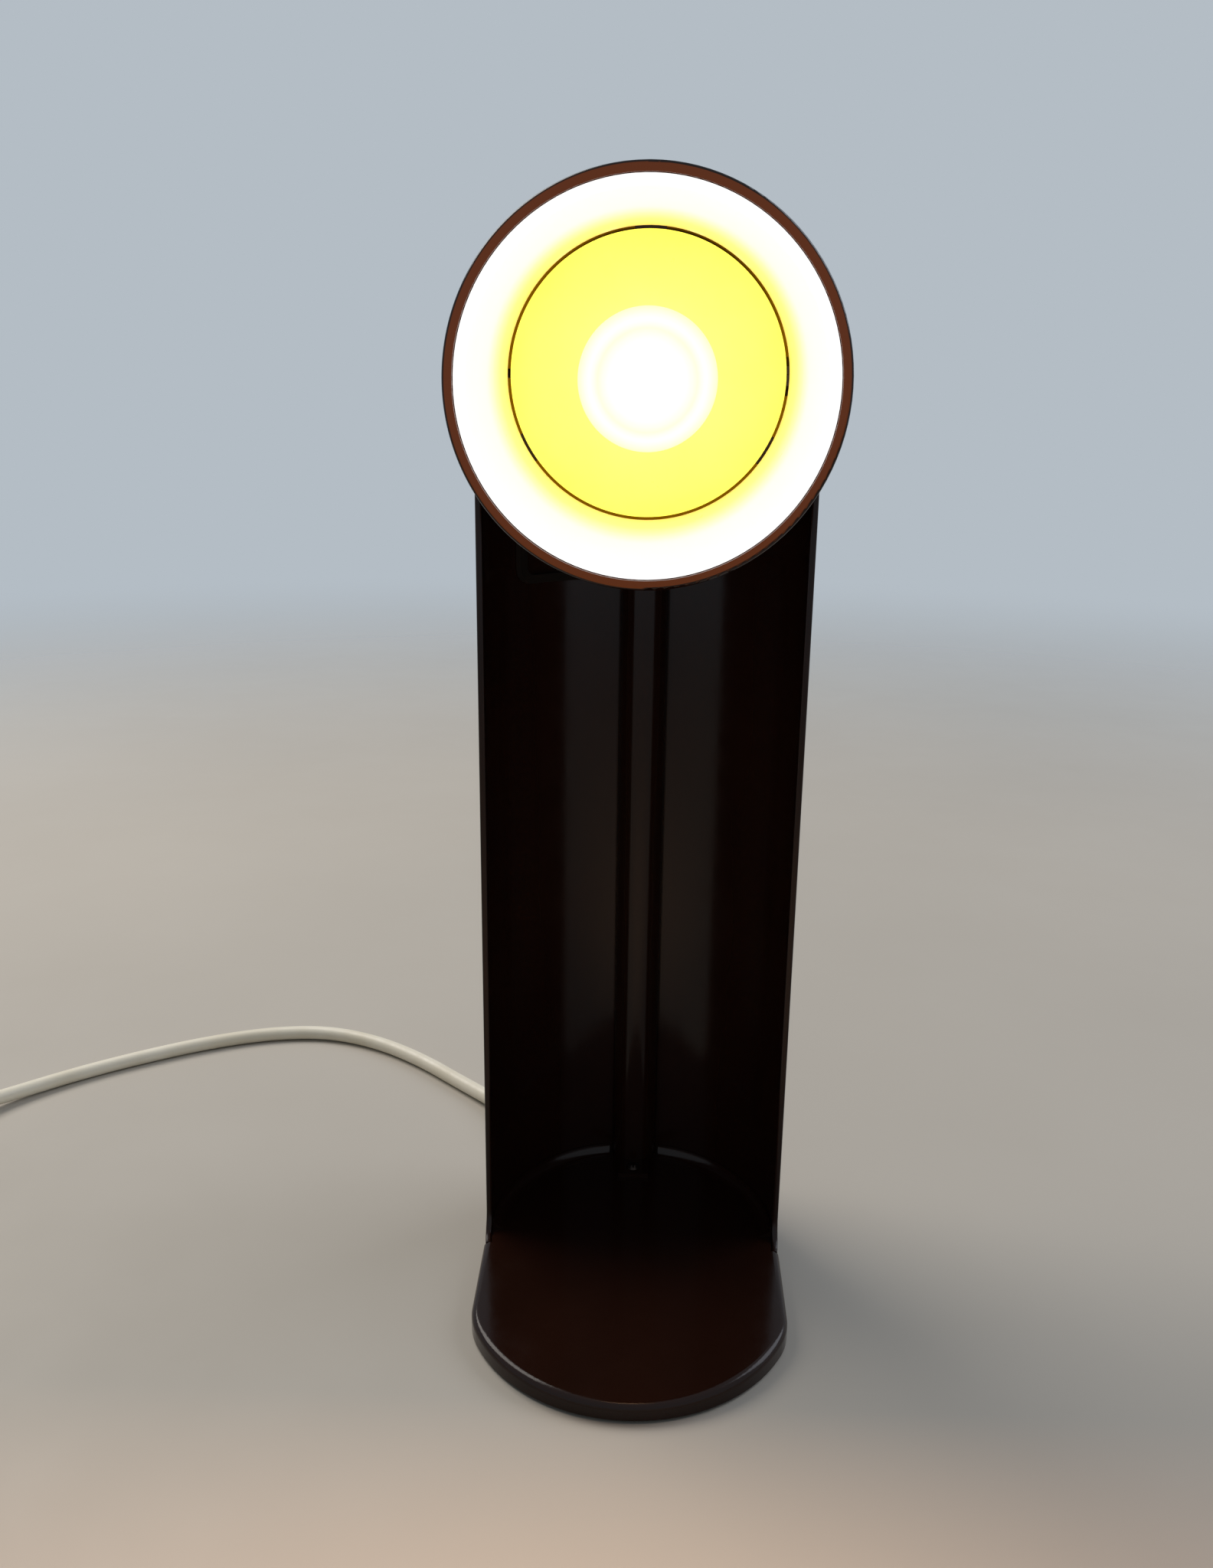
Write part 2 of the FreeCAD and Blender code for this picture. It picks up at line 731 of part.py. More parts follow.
def lead_band():
    """Makes the side view of the flat lead from the duct's top up to the left ear."""
    half = S.lead_width / 2
    low = S.duct_top + 2
    rise = S.lead_rise
    bend = S.lead_width * 2
    inner = bend - S.lead_width
    turn = S.pivot_height + half - bend
    start = (S.tube_radius, low)
    steps = [
        ((S.tube_radius, low + S.lead_width),),
        ((rise + inner, low + S.lead_width),),
        ((rise, low + bend), (rise + inner, low + bend), -1),
        ((rise, turn),),
        ((rise - bend, S.pivot_height + half), (rise - bend, turn), 1),
        ((-half, S.pivot_height + half),),
        ((-half, S.pivot_height - half),),
        ((rise - bend, S.pivot_height - half),),
        ((rise - S.lead_width, turn), (rise - bend, turn), -1),
        ((rise - S.lead_width, low + bend),),
        ((rise + inner, low), (rise + inner, low + bend), 1),
        (start,),
    ]
    edge = S.lead_width / 2
    return pad(start, steps, S.tube_radius - edge, (-S.tube_radius, 0, 0), SIDE_ON)


def fixed_leads():
    """The wiring that stays with the stand, from the terminal block to the left pivot."""
    outer = SHELL_INNER - S.seat_gap
    inner = outer - S.lead_thickness
    tall = S.pivot_height + S.ear_radius
    ring = cut(cylinder((0, 0, 0), outer, tall), cylinder((0, 0, 0), inner, tall))
    pin_length = S.boss_length - S.lead_width
    pin = cylinder((-(inner + outer) / 2, 0, S.pivot_height), S.core_radius, pin_length, "X")
    node("pivot_lead", fuse(common(ring, lead_band()), pin))
    half = S.lead_width / 2
    plane = lead_plane()
    bottom = PLATE_TOP + S.lead_width / 2
    rise = S.duct_top + 2 + S.lead_width
    upright = box((-half, plane, bottom), (S.lead_width, S.lead_thickness, rise - bottom))
    foot = box((-half, BLOCK_BACK, bottom), (S.lead_width, plane - BLOCK_BACK, S.lead_thickness))
    top = box((-half, plane, rise - S.lead_width), (S.lead_width, outer - plane - S.seat_gap, S.lead_width))
    node("duct_lead", fuse(upright, foot, top))
    left = S.lead_width * 2 - S.block_width
    block = box((left, BLOCK_BACK - S.block_depth, PLATE_TOP), (S.block_width, S.block_depth, S.block_height))
    node("terminal_block", block)
    frame = radial(EXIT_ANGLE, S.exit_height)
    start = BLOCK_BACK / math.sin(math.radians(EXIT_ANGLE)) + S.core_radius
    core = cylinder((start, 0, 0), S.core_radius, S.tube_radius - S.rim_width - start, "X", frame)
    node("mains_cores", core)


def vent_slots():
    """Makes the cutters of the head's vents, a fan of upright slots with round ends."""
    slots = []
    for number in range(VENTS):
        x = S.vent_pitch * (number - (VENTS - 1) / 2)
        low = S.pivot_height + HEAD_INNER - S.vent_height - S.vent_top
        deep = HEAD_RADIUS
        slots.append(box((x - S.vent_width / 2, MARGIN, low), (S.vent_width, deep, S.vent_height)))
        for end in (low, low + S.vent_height):
            slots.append(cylinder((x, MARGIN, end), S.vent_width / 2, deep, "Y"))
    return slots


def head_housing():
    """The bullet-shaped head: round rim, reflector seat, domed back with vents, pivot pads, lugs."""
    radius = HEAD_RADIUS
    face = -S.head_reach
    seat = -CONE_SEAT
    seat_end = seat + S.seat_length
    inner_seat = HEAD_INNER - S.seat_width
    edge = S.rim_round
    start = (HEAD_INNER, face)
    steps = [
        ((radius - edge, face),),
        ((radius, face + edge), (radius - edge, face + edge), 1),
        ((radius, 0),),
        ((0, radius), (0, 0), 1),
        ((0, HEAD_INNER),),
        ((HEAD_INNER, 0), (0, 0), -1),
        ((HEAD_INNER, seat_end + S.seat_width),),
        ((inner_seat, seat_end),),
        ((inner_seat, seat),),
        ((HEAD_INNER, seat),),
        (start,),
    ]
    bullet = revolve(start, steps, (0, 0, S.pivot_height))
    flat = cylinder((HEAD_FLAT, 0, S.pivot_height), S.ear_pad_radius + 1, MARGIN, "X")
    pad_disc = cylinder((PAD_INNER, 0, S.pivot_height), S.ear_pad_radius - S.swing_gap, S.head_pad, "X")
    boss_hole = cylinder((-radius - 1, 0, S.pivot_height), S.boss_radius + S.running_gap, MARGIN * 2, "X")
    screw_hole = cylinder((PAD_INNER - 1, 0, S.pivot_height), S.pivot_radius + S.running_gap, MARGIN * 2, "X")
    lugs = []
    lug_holes = []
    for angle in LUG_ANGLES:
        frame = about_face(angle)
        reach = radius - S.head_wall / 2 - LUG_REACH
        low = (LUG_REACH, -S.plate_back, -S.lug_width / 2)
        lugs.append(box(low, (reach, S.lug_length, S.lug_width), frame))
        lug_holes.append(cylinder((STUD_RING, -S.plate_back - 1, 0), S.stud_radius + S.running_gap,
                                  S.lug_length + 2, "Y", frame))
    shell = cut(bullet, flat, boss_hole, *vent_slots())
    node("head_housing", tilted(cut(fuse(shell, pad_disc, *lugs), screw_hole, *lug_holes)))


def pivot_fastening():
    """The pivot screw on the right with its friction washer, spring washer and nut."""
    height = S.pivot_height
    gap = S.running_gap
    head = cylinder((SPOT_FACE + gap, 0, height), S.spot_radius - S.seat_gap, S.spot_depth - gap, "X")
    nut_end = PAD_INNER - S.spring_thickness - S.nut_length
    shank = cylinder((nut_end - 1, 0, height), S.pivot_radius, SPOT_FACE + gap - nut_end + 1, "X")
    slot = box((S.tube_radius - S.slot_depth, -S.slot_width, height - S.spot_radius),
               (S.spot_depth, S.slot_width * 2, S.spot_radius * 2))
    node("pivot_screw", cut(fuse(head, shank), slot))
    bore = S.pivot_radius + gap

    def ring(start, radius, length):
        """Makes a washer round the pivot screw."""
        at = (start, 0, height)
        return cut(cylinder(at, radius, length, "X"), cylinder(at, bore, length, "X"))

    node("friction_washer", ring(HEAD_FLAT, S.ear_pad_radius - S.swing_gap, S.washer_thickness - gap))
    node("spring_washer", ring(PAD_INNER - S.spring_thickness, S.nut_radius, S.spring_thickness))
    nut = hexagon((nut_end, 0, height), S.nut_radius, S.nut_length, "X")
    node("pivot_nut", cut(nut, cylinder((nut_end, 0, height), bore, S.nut_length, "X")))


def reflector():
    """The white cone in the head, its back plate and the nuts that hold the plate."""
    seat = -CONE_SEAT
    wall = S.reflector_wall
    rear = -(S.plate_back + S.plate_wall)
    rim = HEAD_INNER - S.seat_gap
    start = (CONE_FRONT, seat - wall)
    steps = lines((rim, seat - wall), (rim, seat), (CONE_FRONT + wall, seat), (CONE_BACK + wall, rear),
                  (CONE_BACK, rear), start)
    node("reflector_cone", tilted(revolve(start, steps, (0, 0, S.pivot_height))))
    disc_radius = CONE_BACK - S.ring_gap
    disc = cylinder((0, rear, S.pivot_height), disc_radius, S.plate_wall, "Y")
    hole = cylinder((0, rear, S.pivot_height), S.plate_hole, S.plate_wall, "Y")
    studs = []
    nuts = []
    for angle in LUG_ANGLES:
        frame = about_face(angle)
        studs.append(cylinder((STUD_RING, -S.plate_back, 0), S.stud_radius, S.stud_length, "Y", frame))
        seat_at = S.lug_length - S.plate_back
        nut = hexagon((STUD_RING, seat_at, 0), S.stud_nut_radius, S.stud_nut_length, "Y", frame)
        bore = cylinder((STUD_RING, seat_at, 0), S.stud_radius + S.running_gap, S.stud_nut_length, "Y", frame)
        nuts.append(cut(nut, bore))
    node("reflector_back_plate", tilted(fuse(cut(disc, hole), *studs)))
    node("plate_nuts", tilted(fuse(*nuts)))


def socket_bracket():
    """The bent strip that carries the socket behind the plate."""
    front = -S.plate_back
    back = S.socket_back
    wall = S.bracket_wall
    half = S.bracket_half
    tall = LUG_REACH - S.bracket_clear
    start = (front, tall)
    steps = lines((front, half), (back, half), (back, -half), (front, -half), (front, -tall),
                  (front + wall, -tall), (front + wall, -half - wall), (back + wall, -half - wall),
                  (back + wall, half + wall), (front + wall, half + wall), (front + wall, tall), start)
    strip = pad(start, steps, S.bracket_width, (-S.bracket_width / 2, 0, S.pivot_height), SIDE_ON)
    hole = cylinder((0, back - 1, S.pivot_height), S.stub_radius + S.running_gap, wall + 2, "Y")
    node("socket_bracket", tilted(cut(strip, hole)))


def lamp_socket():
    """The socket with its threaded sleeve, centre contact and ring nut."""
    at = (0, 0, S.pivot_height)
    radius = S.socket_radius
    front = -S.socket_front
    end = S.socket_back + S.stub_length
    start = (0, S.bore_end)
    steps = lines((S.socket_bore, S.bore_end), (S.socket_bore, front), (radius, front),
                  (radius, S.socket_back), (S.stub_radius, S.socket_back), (S.stub_radius, end),
                  (0, end), start)
    node("lamp_socket", tilted(revolve(start, steps, at)))
    outer = S.socket_bore - S.running_gap
    inner = outer - S.thread_wall
    mouth = (0, -S.socket_front, S.pivot_height)
    sleeve = cut(cylinder((0, S.thread_wall - S.socket_front, S.pivot_height), outer, S.thread_length, "Y"),
                 cylinder(mouth, inner, S.thread_length * 2, "Y"))
    node("socket_thread", tilted(sleeve))
    contact = box((-S.contact_width / 2, S.bore_end - S.contact_length, S.pivot_height - S.contact_width / 2),
                  (S.contact_width, S.contact_length, S.contact_width), radial(0, 0))
    node("socket_contact", tilted(contact))
    seat = S.socket_back + S.bracket_wall
    nut = hexagon((0, seat, S.pivot_height), S.ring_nut_radius, S.ring_nut_length, "Y")
    bore = cylinder((0, seat, S.pivot_height), S.stub_radius + S.running_gap, S.ring_nut_length, "Y")
    node("socket_nut", tilted(cut(nut, bore)))


def glass_steps(skin):
    """Gives the bulb's half outline, drawn in by a skin, from its front to its neck."""
    dome = S.bulb_dome - skin
    corner = S.bulb_corner - skin
    back = S.bulb_back - skin
    dome_at = S.bulb_dome - S.bulb_front
    corner_x = S.bulb_radius - S.bulb_corner
    reach = S.bulb_dome - S.bulb_corner
    drop = (reach * reach - corner_x * corner_x).root()
    corner_y = dome_at - drop
    share = dome / reach
    touch = (corner_x * share, dome_at - drop * share)
    belly = (corner_x + corner, corner_y)
    back_x = S.bulb_radius - S.bulb_back
    run = -S.bulb_waist - corner_y
    waist = (back_x + (back * back - run * run).root(), -S.bulb_waist)
    return SimpleNamespace(tip=(0, dome_at - dome), touch=touch, belly=belly, waist=waist,
                           dome=(0, dome_at), corner=(corner_x, corner_y), back=(back_x, corner_y))


def bulb():
    """The frosted reflector bulb: a hollow glass and its screw cap."""
    at = (0, 0, S.pivot_height)
    out = glass_steps(0)
    skin = glass_steps(S.glass_wall)
    neck = S.neck_radius
    bore = neck - S.glass_wall
    end = -S.neck_end
    neck_at = -S.cap_front
    steps = [
        (out.touch, out.dome, 1),
        (out.belly, out.corner, 1),
        (out.waist, out.back, 1),
        ((neck, neck_at),),
        ((neck, end),),
        ((bore, end),),
        ((bore, neck_at),),
        (skin.waist,),
        (skin.belly, skin.back, -1),
        (skin.touch, skin.corner, -1),
        (skin.tip, skin.dome, -1),
        (out.tip,),
    ]
    node("bulb_glass", tilted(revolve(out.tip, steps, at)))
    inner = neck + S.running_gap
    cone_end = S.cap_end + S.cap_cone
    tip_end = S.bore_end - S.contact_length
    start = (0, end)
    steps = lines((inner, end), (inner, neck_at), (S.cap_radius, neck_at), (S.cap_radius, S.cap_end),
                  (S.tip_radius, cone_end), (S.tip_radius, tip_end), (0, tip_end), start)
    node("bulb_cap", tilted(revolve(start, steps, at)))


def corner_arcs(points):
    """Joins straight runs by tangent arcs as large as the runs allow; gives the wire and the radii."""
    share = 0.45
    edges = []
    radii = []
    here = points[0]
    for before, corner, after in zip(points, points[1:], points[2:]):
        back = before - corner
        ahead = after - corner
        reach = share * min(back.Length, ahead.Length)
        back.normalize()
        ahead.normalize()
        half = math.pi / 2 - back.getAngle(ahead) / 2
        radius = reach / math.tan(half)
        first = corner + back * reach
        last = corner + ahead * reach
        bisector = back + ahead
        bisector.normalize()
        middle = corner + bisector * (radius / math.cos(half) - radius)
        edges.append(Part.LineSegment(here, first).toShape())
        edges.append(Part.Arc(first, middle, last).toShape())
        radii.append(radius)
        here = last
    edges.append(Part.LineSegment(here, points[-1]).toShape())
    return Part.Wire(edges), radii


def tube(wire, start, heading, radius):
    """Sweeps a round section along a wire."""
    section = Part.Wire([Part.Circle(start, heading, radius).toShape()])
    return wire.makePipeShell([section], True, False)


def cord_tube(label, points, radius):
    """Makes a cord's stretch along a route and compares its volume with section times length."""
    points = [Vector(*point) for point in points]
    wire, radii = corner_arcs(points)
    shape = tube(wire, points[0], points[1] - points[0], radius)
    expected = math.pi * radius ** 2 * wire.Length
    worked = ", ".join(f"{value:.0f}" for value in radii)
    print(f"{label}: length {wire.Length:.0f}, volume ratio {shape.Volume / expected:.4f}, radii {worked}")
    return solid_node(label, shape)


def head_lead():
    """The lead in the head, from the hollow pivot to the socket's side."""
    start = -(SHELL_INNER.number - S.boss_length.number + S.lead_width.number / 2 - 1)
    socket = -S.socket_radius.number - S.seat_gap.number
    side = S.bore_end.number + 1
    third = (socket - start) / 3
    row = ((start, 0), (start + third, 0), (socket - third, side), (socket, side))
    points = [(x, y + BACK_SHIFT.number, S.pivot_height.number) for x, y in row]
    tilted(cord_tube("head_lead", points, S.core_radius.number))


def strain_relief():
    """The tapered sleeve where the cord leaves the base."""
    wall = S.tube_radius - S.rim_width
    flange = S.tube_radius + S.seat_gap
    collar = flange + S.flange_length
    end = S.tube_radius + S.relief_length
    root = S.relief_flange - S.groove_width / 2
    taper = (root - S.relief_tip) / (end - collar)
    ribs = []
    for number in range(RELIEF_GROOVES):
        here = collar + S.groove_pitch * (number + 1)
        there = here + S.groove_width
        high, after = root - taper * (here - collar), root - taper * (there - collar)
        ribs += [(high, here), (high - S.groove_depth, here), (after - S.groove_depth, there), (after, there)]
    start = (0, wall)
    steps = lines((S.relief_neck, wall), (S.relief_neck, flange), (S.relief_flange, flange),
                  (S.relief_flange, collar), (root, collar), *ribs, (S.relief_tip, end), (0, end), start)
    frame = radial(EXIT_ANGLE - 90, S.exit_height)
    node("strain_relief", revolve(start, steps, (0, 0, 0), frame=frame))
    return radial(EXIT_ANGLE, S.exit_height).multVec(Vector(end.number, 0, 0))


# The cord's route on the floor about the tube's axis, after the strain relief and before the switch
ROUTE = (
    (-46.0, 79.67, 7.2),
    (-56.0, 93.0, 5.6),
    (-68.5, 107.0, 3.7),
    (-84.5, 122.0, 3.25),
    (-104.0, 140.0, 3.25),
    (-128.0, 156.5, 3.25),
    (-155.0, 166.0, 3.25),
    (-183.0, 163.5, 3.25),
    (-211.0, 152.5, 3.25),
    (-238.0, 136.5, 3.25),
    (-263.0, 118.5, 3.25),
    (-284.0, 98.0, 4.0),
    (-297.0, 80.0, 6.5),
    (-305.0, 62.0, 6.5),
)
LINK_LENGTH = 32.0
LINK_RUN = 10.0
# The tail's points after the coil: forward, to the left, and the share of the way down to the plug
TAIL = ((14.0, 0.0, 0.0), (31.0, 1.5, 1.0), (46.0, 5.5, 1.0))


def heading_frame(point, direction):
    """Gives a frame on the floor whose X axis follows a heading."""
    angle = math.degrees(math.atan2(direction.y, direction.x))
    return Placement(Vector(point.x, point.y, 0), Rotation(Vector(0, 0, 1), angle))


def rounded_bar(length, width, corner, height, at, frame):
    """Makes a slab with round corners, centred on its frame."""
    x = length / 2
    y = width / 2
    in_x = x - corner
    in_y = y - corner
    steps = [
        ((in_x, -y),),
        ((x, -in_y), (in_x, -in_y), 1),
        ((x, in_y),),
        ((in_x, y), (in_x, in_y), 1),
        ((-in_x, y),),
        ((-x, in_y), (-in_x, in_y), 1),
        ((-x, -in_y),),
        ((-in_x, -y), (-in_x, -in_y), 1),
    ]
    return pad((-in_x, -y), steps, height, at, frame=frame)


def inline_switch(frame):
    """The cord's switch: two shells, a rocker on a pin and the screws from below."""
    length, width, corner = S.switch_length, S.switch_width, S.switch_corner
    split = S.switch_split
    upper_height = S.switch_height - split
    lower = rounded_bar(length, width, corner, split, (0, 0, 0), frame)
    upper = rounded_bar(length, width, corner, upper_height, (0, 0, split), frame)
    on_top = lambda edge: all(abs(v.Point.z - S.switch_height.number) < 0.01 for v in edge.Vertexes)
    upper = rounded(upper, S.top_round, on_top)
    pocket_long = S.rocker_length + S.pocket_gap * 2 + 1
    pocket_wide = S.rocker_width + S.pocket_gap * 2
    pocket = box((-pocket_long / 2, -pocket_wide / 2, S.switch_height - S.pocket_depth),
                 (pocket_long, pocket_wide, S.pocket_depth + 1), frame)
    pin_long = pocket_wide + 2
    pin_bore = S.rocker_pin + S.running_gap
    pin_hole = cylinder((0, -pin_long / 2, S.rocker_pivot), pin_bore, pin_long, "Y", frame)
    screw_x = length / 2 - corner - S.screw_head_radius / 2
    reach = S.switch_height - S.top_round - 1
    places = [(-screw_x, 0, S.plate_recess), (screw_x, 0, S.plate_recess)]
    node("switch_lower", cut(lower, *[screw(at, reach, "Z", frame) for at in places]))
    node("switch_upper", cut(upper, pocket, pin_hole, *[screw(at, reach, "Z", frame) for at in places]))
    node("switch_screws", fuse(*[slotted_screw(at, reach, "Z", frame) for at in places]))
    half = S.rocker_length / 2
    high = S.switch_height + S.rocker_rise
    low = high - S.rocker_rise - S.rocker_depth
    over = high + (S.rocker_dish * S.rocker_dish - half * half).root()
    start = (-half, low)
    steps = [((half, low),), ((half, high),), ((-half, high), (0, over), -1), (start,)]
    cross = frame.multiply(Placement(Vector(0, S.rocker_width.number / 2, 0), Rotation(Vector(1, 0, 0), 90)))
    bar = pad(start, steps, S.rocker_width, (0, 0, 0), frame=cross)
    pin_reach = pin_long - S.pocket_gap
    pin = cylinder((0, -pin_reach / 2, S.rocker_pivot), S.rocker_pin, pin_reach, "Y", frame)
    node("switch_rocker", fuse(bar, pin))


def biarc(first, first_way, last, last_way):
    """Joins two points with given directions by two tangent arcs."""
    across = last - first
    ways = first_way + last_way
    lead = across.dot(ways)
    spread = 2 * (1 - first_way.dot(last_way))
    reach = (-lead + math.sqrt(lead ** 2 + spread * across.dot(across))) / spread
    middle = (first + last + (first_way - last_way) * reach) * 0.5
    edges = []
    halves = ((first, middle, first + first_way * reach), (middle, last, last - last_way * reach))
    for start, end, corner in halves:
        bisector = (start - corner).normalize() + (end - corner).normalize()
        half = bisector.normalize().getAngle(start - corner)
        radius = reach * math.tan(half)
        top = corner + bisector * (radius / math.sin(half) - radius)
        edges.append(Part.Arc(start, top, end).toShape())
    return edges


def coil_point(centre, start, turn):
    """Gives a point of the coil: it spirals in, climbs a layer in half a turn and spirals out."""
    outer = S.coil_outer.number
    pitch = S.coil_pitch.number
    low = CORD_RADIUS.number + S.coil_lift.number
    middle = TURNS_PER_LAYER + CLIMB_TURN / 2
    climb = min(max((turn - TURNS_PER_LAYER) / CLIMB_TURN, 0.0), 1.0)
    radius = outer - pitch * (middle - abs(turn - middle))
    angle = start + 2 * math.pi * turn
    height = low + S.layer_pitch.number * climb ** 2 * (3 - 2 * climb)
    return Vector(centre.x + radius * math.cos(angle), centre.y + radius * math.sin(angle), height)


def least_gap(wire, diameter):
    """Measures the least gap of a wound tube to itself on points along it."""
    step = 3.0
    points = wire.discretize(Distance=step)
    apart = int(math.pi * diameter / step)
    nearest = min((a - b).Length for i, a in enumerate(points) for b in points[i + apart:])
    return nearest - diameter


def cord_coil(centre, start):
    """The put-away length of the cord, wound in two layers; gives its ends and their headings."""
    diameter = S.cord_diameter.number
    count = round(4 * (2 * TURNS_PER_LAYER + CLIMB_TURN))
    place = lambda turn: coil_point(centre, start, turn)
    small = 1e-4
    edges = []
    rows = []
    for number in range(count + 1):
        turn = number / 4
        low, high = max(turn - small, 0.0), min(turn + small, count / 4)
        rows.append((place(turn), (place(high) - place(low)).normalize()))
    for (first, first_way), (last, last_way) in zip(rows, rows[1:]):
        edges.extend(biarc(first, first_way, last, last_way))
    head = rows[0][0] - rows[0][1] * diameter
    tail = rows[-1][0] + rows[-1][1] * diameter
    edges.insert(0, Part.LineSegment(head, rows[0][0]).toShape())
    edges.append(Part.LineSegment(rows[-1][0], tail).toShape())
    wire = Part.Wire(edges)
    shape = tube(wire, head, rows[0][1], CORD_RADIUS.number)
    expected = math.pi * CORD_RADIUS.number ** 2 * wire.Length
    print(f"cord_coil: length {wire.Length:.0f}, volume ratio {shape.Volume / expected:.4f}, "
          f"least gap {least_gap(wire, diameter):.2f}")
    solid_node("cord_coil", shape)
    return head, rows[0][1], tail, rows[-1][1]


def cord_tie(centre, start):
    """The strap round the coil, close to its turns."""
    angle = math.degrees(start) + TIE_ANGLE
    frame = Placement(Vector(centre.x, centre.y, 0), Rotation(Vector(0, 0, 1), angle))
    share = TIE_ANGLE / 360
    radius = CORD_RADIUS
    layers = int(TURNS_PER_LAYER - share)
    low = S.coil_outer - S.coil_pitch * (layers + share) - radius - S.tie_gap
    top_turn = (2 * TURNS_PER_LAYER + CLIMB_TURN - share) % 1
    high = S.coil_outer - S.coil_pitch * top_turn + radius + S.tie_gap
    wall = S.tie_wall
    bottom = S.coil_lift - S.seat_gap
    tall = S.layer_pitch + S.cord_diameter + S.seat_gap * 2
    wide = S.tie_width
    outer = box((low - wall, -wide / 2, bottom - wall), (high - low + wall * 2, wide, tall + wall * 2), frame)
    inner = box((low, -wide / 2 - 1, bottom), (high - low, wide + 2, tall), frame)
    node("cord_tie", cut(outer, inner))


def plug(frame):
    """The flat two-pin plug with round pins."""
    nose, tail, wide = S.plug_nose / 2, S.plug_tail / 2, S.plug_width / 2
    length = S.plug_length
    shoulder = length - (wide - nose)
    waist = length / 2
    start = (0, -tail)
    steps = lines((waist, -wide), (shoulder, -wide), (length, -nose), (length, nose), (shoulder, wide),
                  (waist, wide), (0, tail), start)
    body = pad(start, steps, S.plug_height, (0, 0, 0), frame=frame)
    flat = lambda edge: abs(edge.Vertexes[0].Point.z - edge.Vertexes[1].Point.z) < 0.01
    node("plug_body", rounded(body, S.plug_round, flat))
    middle = S.plug_height / 2
    pins = [cylinder((length, side * S.pin_spacing / 2, middle), S.pin_radius, S.pin_length, "X", frame)
            for side in (-1, 1)]
    node("plug_pins", fuse(*pins))


def mains_cord():
    """The cord with all that is on it, from the strain relief to the plug."""
    tip = strain_relief()
    run = [tuple(tip)] + [(x, y + BACK_SHIFT.number, z) for x, y, z in ROUTE]
    cord_tube("cord_run", run, CORD_RADIUS.number)
    ahead = (Vector(*run[-1]) - Vector(*run[-2]))
    ahead.z = 0
    ahead.normalize()
    middle = Vector(*run[-1]) + ahead * (S.switch_length.number / 2)
    inline_switch(heading_frame(middle, ahead))
    leave = Vector(*run[-1]) + ahead * S.switch_length.number
    aside = Vector(-ahead.y, ahead.x, 0)
    enter = leave + ahead * (LINK_LENGTH + S.cord_diameter.number)
    centre = enter + aside * S.coil_outer.number
    start = math.atan2(-aside.y, -aside.x)
    coil_head, head_way, coil_tail, tail_way = cord_coil(centre, start)
    link = [leave, leave + ahead * LINK_RUN, coil_head - head_way * LINK_RUN, coil_head]
    cord_tube("cord_link", link, CORD_RADIUS.number)
    cord_tie(centre, start)
    tail = [coil_tail]
    drop = Vector(0, 0, coil_tail.z - S.plug_height.number / 2)
    for forward, left, share in TAIL:
        tail.append(coil_tail + tail_way * forward + aside * left - drop * share)
    cord_tube("cord_tail", tail, CORD_RADIUS.number)
    plug(heading_frame(tail[-1], tail[-1] - tail[-2]))


def check():
    """Stops on a failed object or a bad shape, before anything is written."""
    DOC.recompute()
    for item in DOC.Objects:
        if any(word in item.State for word in ("Invalid", "Error")):
            raise RuntimeError(f"{item.Name} failed")
    for item in NODES:
        if item.Shape.isNull() or not item.Shape.isValid() or not item.Shape.Solids:
            raise RuntimeError(f"{item.Label} has no valid shape")


base_housing()
base_fittings()
back_shell()
cable_duct()
fixed_leads()
head_housing()
pivot_fastening()
reflector()
socket_bracket()
lamp_socket()
bulb()
head_lead()
mains_cord()
check()

os.makedirs("parts", exist_ok=True)
for item in NODES:
    item.Shape.exportStep(f"parts/{item.Label}.step")
print(f"{len(NODES)} sub-parts written")
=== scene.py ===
"""Looks of the flip top desk lamp: finishes, cord, small repeated details, light and camera."""

import logging
import math
from dataclasses import dataclass
from enum import Enum
from typing import Any

import bpy
from mathutils import Matrix, Vector

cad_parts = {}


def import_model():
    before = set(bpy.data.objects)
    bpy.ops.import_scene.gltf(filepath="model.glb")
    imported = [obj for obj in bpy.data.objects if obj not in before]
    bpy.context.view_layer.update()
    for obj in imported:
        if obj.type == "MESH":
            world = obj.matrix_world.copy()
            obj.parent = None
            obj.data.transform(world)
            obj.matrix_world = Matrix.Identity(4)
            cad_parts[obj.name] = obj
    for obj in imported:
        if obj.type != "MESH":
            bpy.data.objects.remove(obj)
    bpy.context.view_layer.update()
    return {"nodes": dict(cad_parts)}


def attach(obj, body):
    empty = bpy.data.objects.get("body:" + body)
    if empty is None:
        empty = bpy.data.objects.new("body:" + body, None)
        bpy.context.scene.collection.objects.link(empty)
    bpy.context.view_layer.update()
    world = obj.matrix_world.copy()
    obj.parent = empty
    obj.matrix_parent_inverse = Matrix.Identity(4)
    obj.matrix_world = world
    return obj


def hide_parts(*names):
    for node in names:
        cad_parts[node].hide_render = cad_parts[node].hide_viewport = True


LOG = logging.getLogger("flip_top_lamp")
MM = 0.001
# The range that Blender's noise mostly keeps to.
NOISE_LOW, NOISE_HIGH = 0.3, 0.7


class Body(Enum):
    """The bodies that move on their own."""

    STAND = "stand"
    HEAD = "head"
    ROCKER = "rocker"


class Measure(Enum):
    """How a glow is measured in the head."""

    ALONG = "along the head's axis"
    AROUND = "out from the head's axis"


def linear(code: str) -> tuple[float, float, float, float]:
    """Turns an sRGB hex colour into linear light.

    Args:
        code: Six hex digits with a leading mark, such as "#2A1710".

    Returns:
        Red, green, blue and an alpha of one.
    """
    parts = [int(code[i:i + 2], 16) / 255 for i in (1, 3, 5)]
    bent = [p / 12.92 if p <= 0.04045 else ((p + 0.055) / 1.055) ** 2.4 for p in parts]
    return (*bent, 1.0)


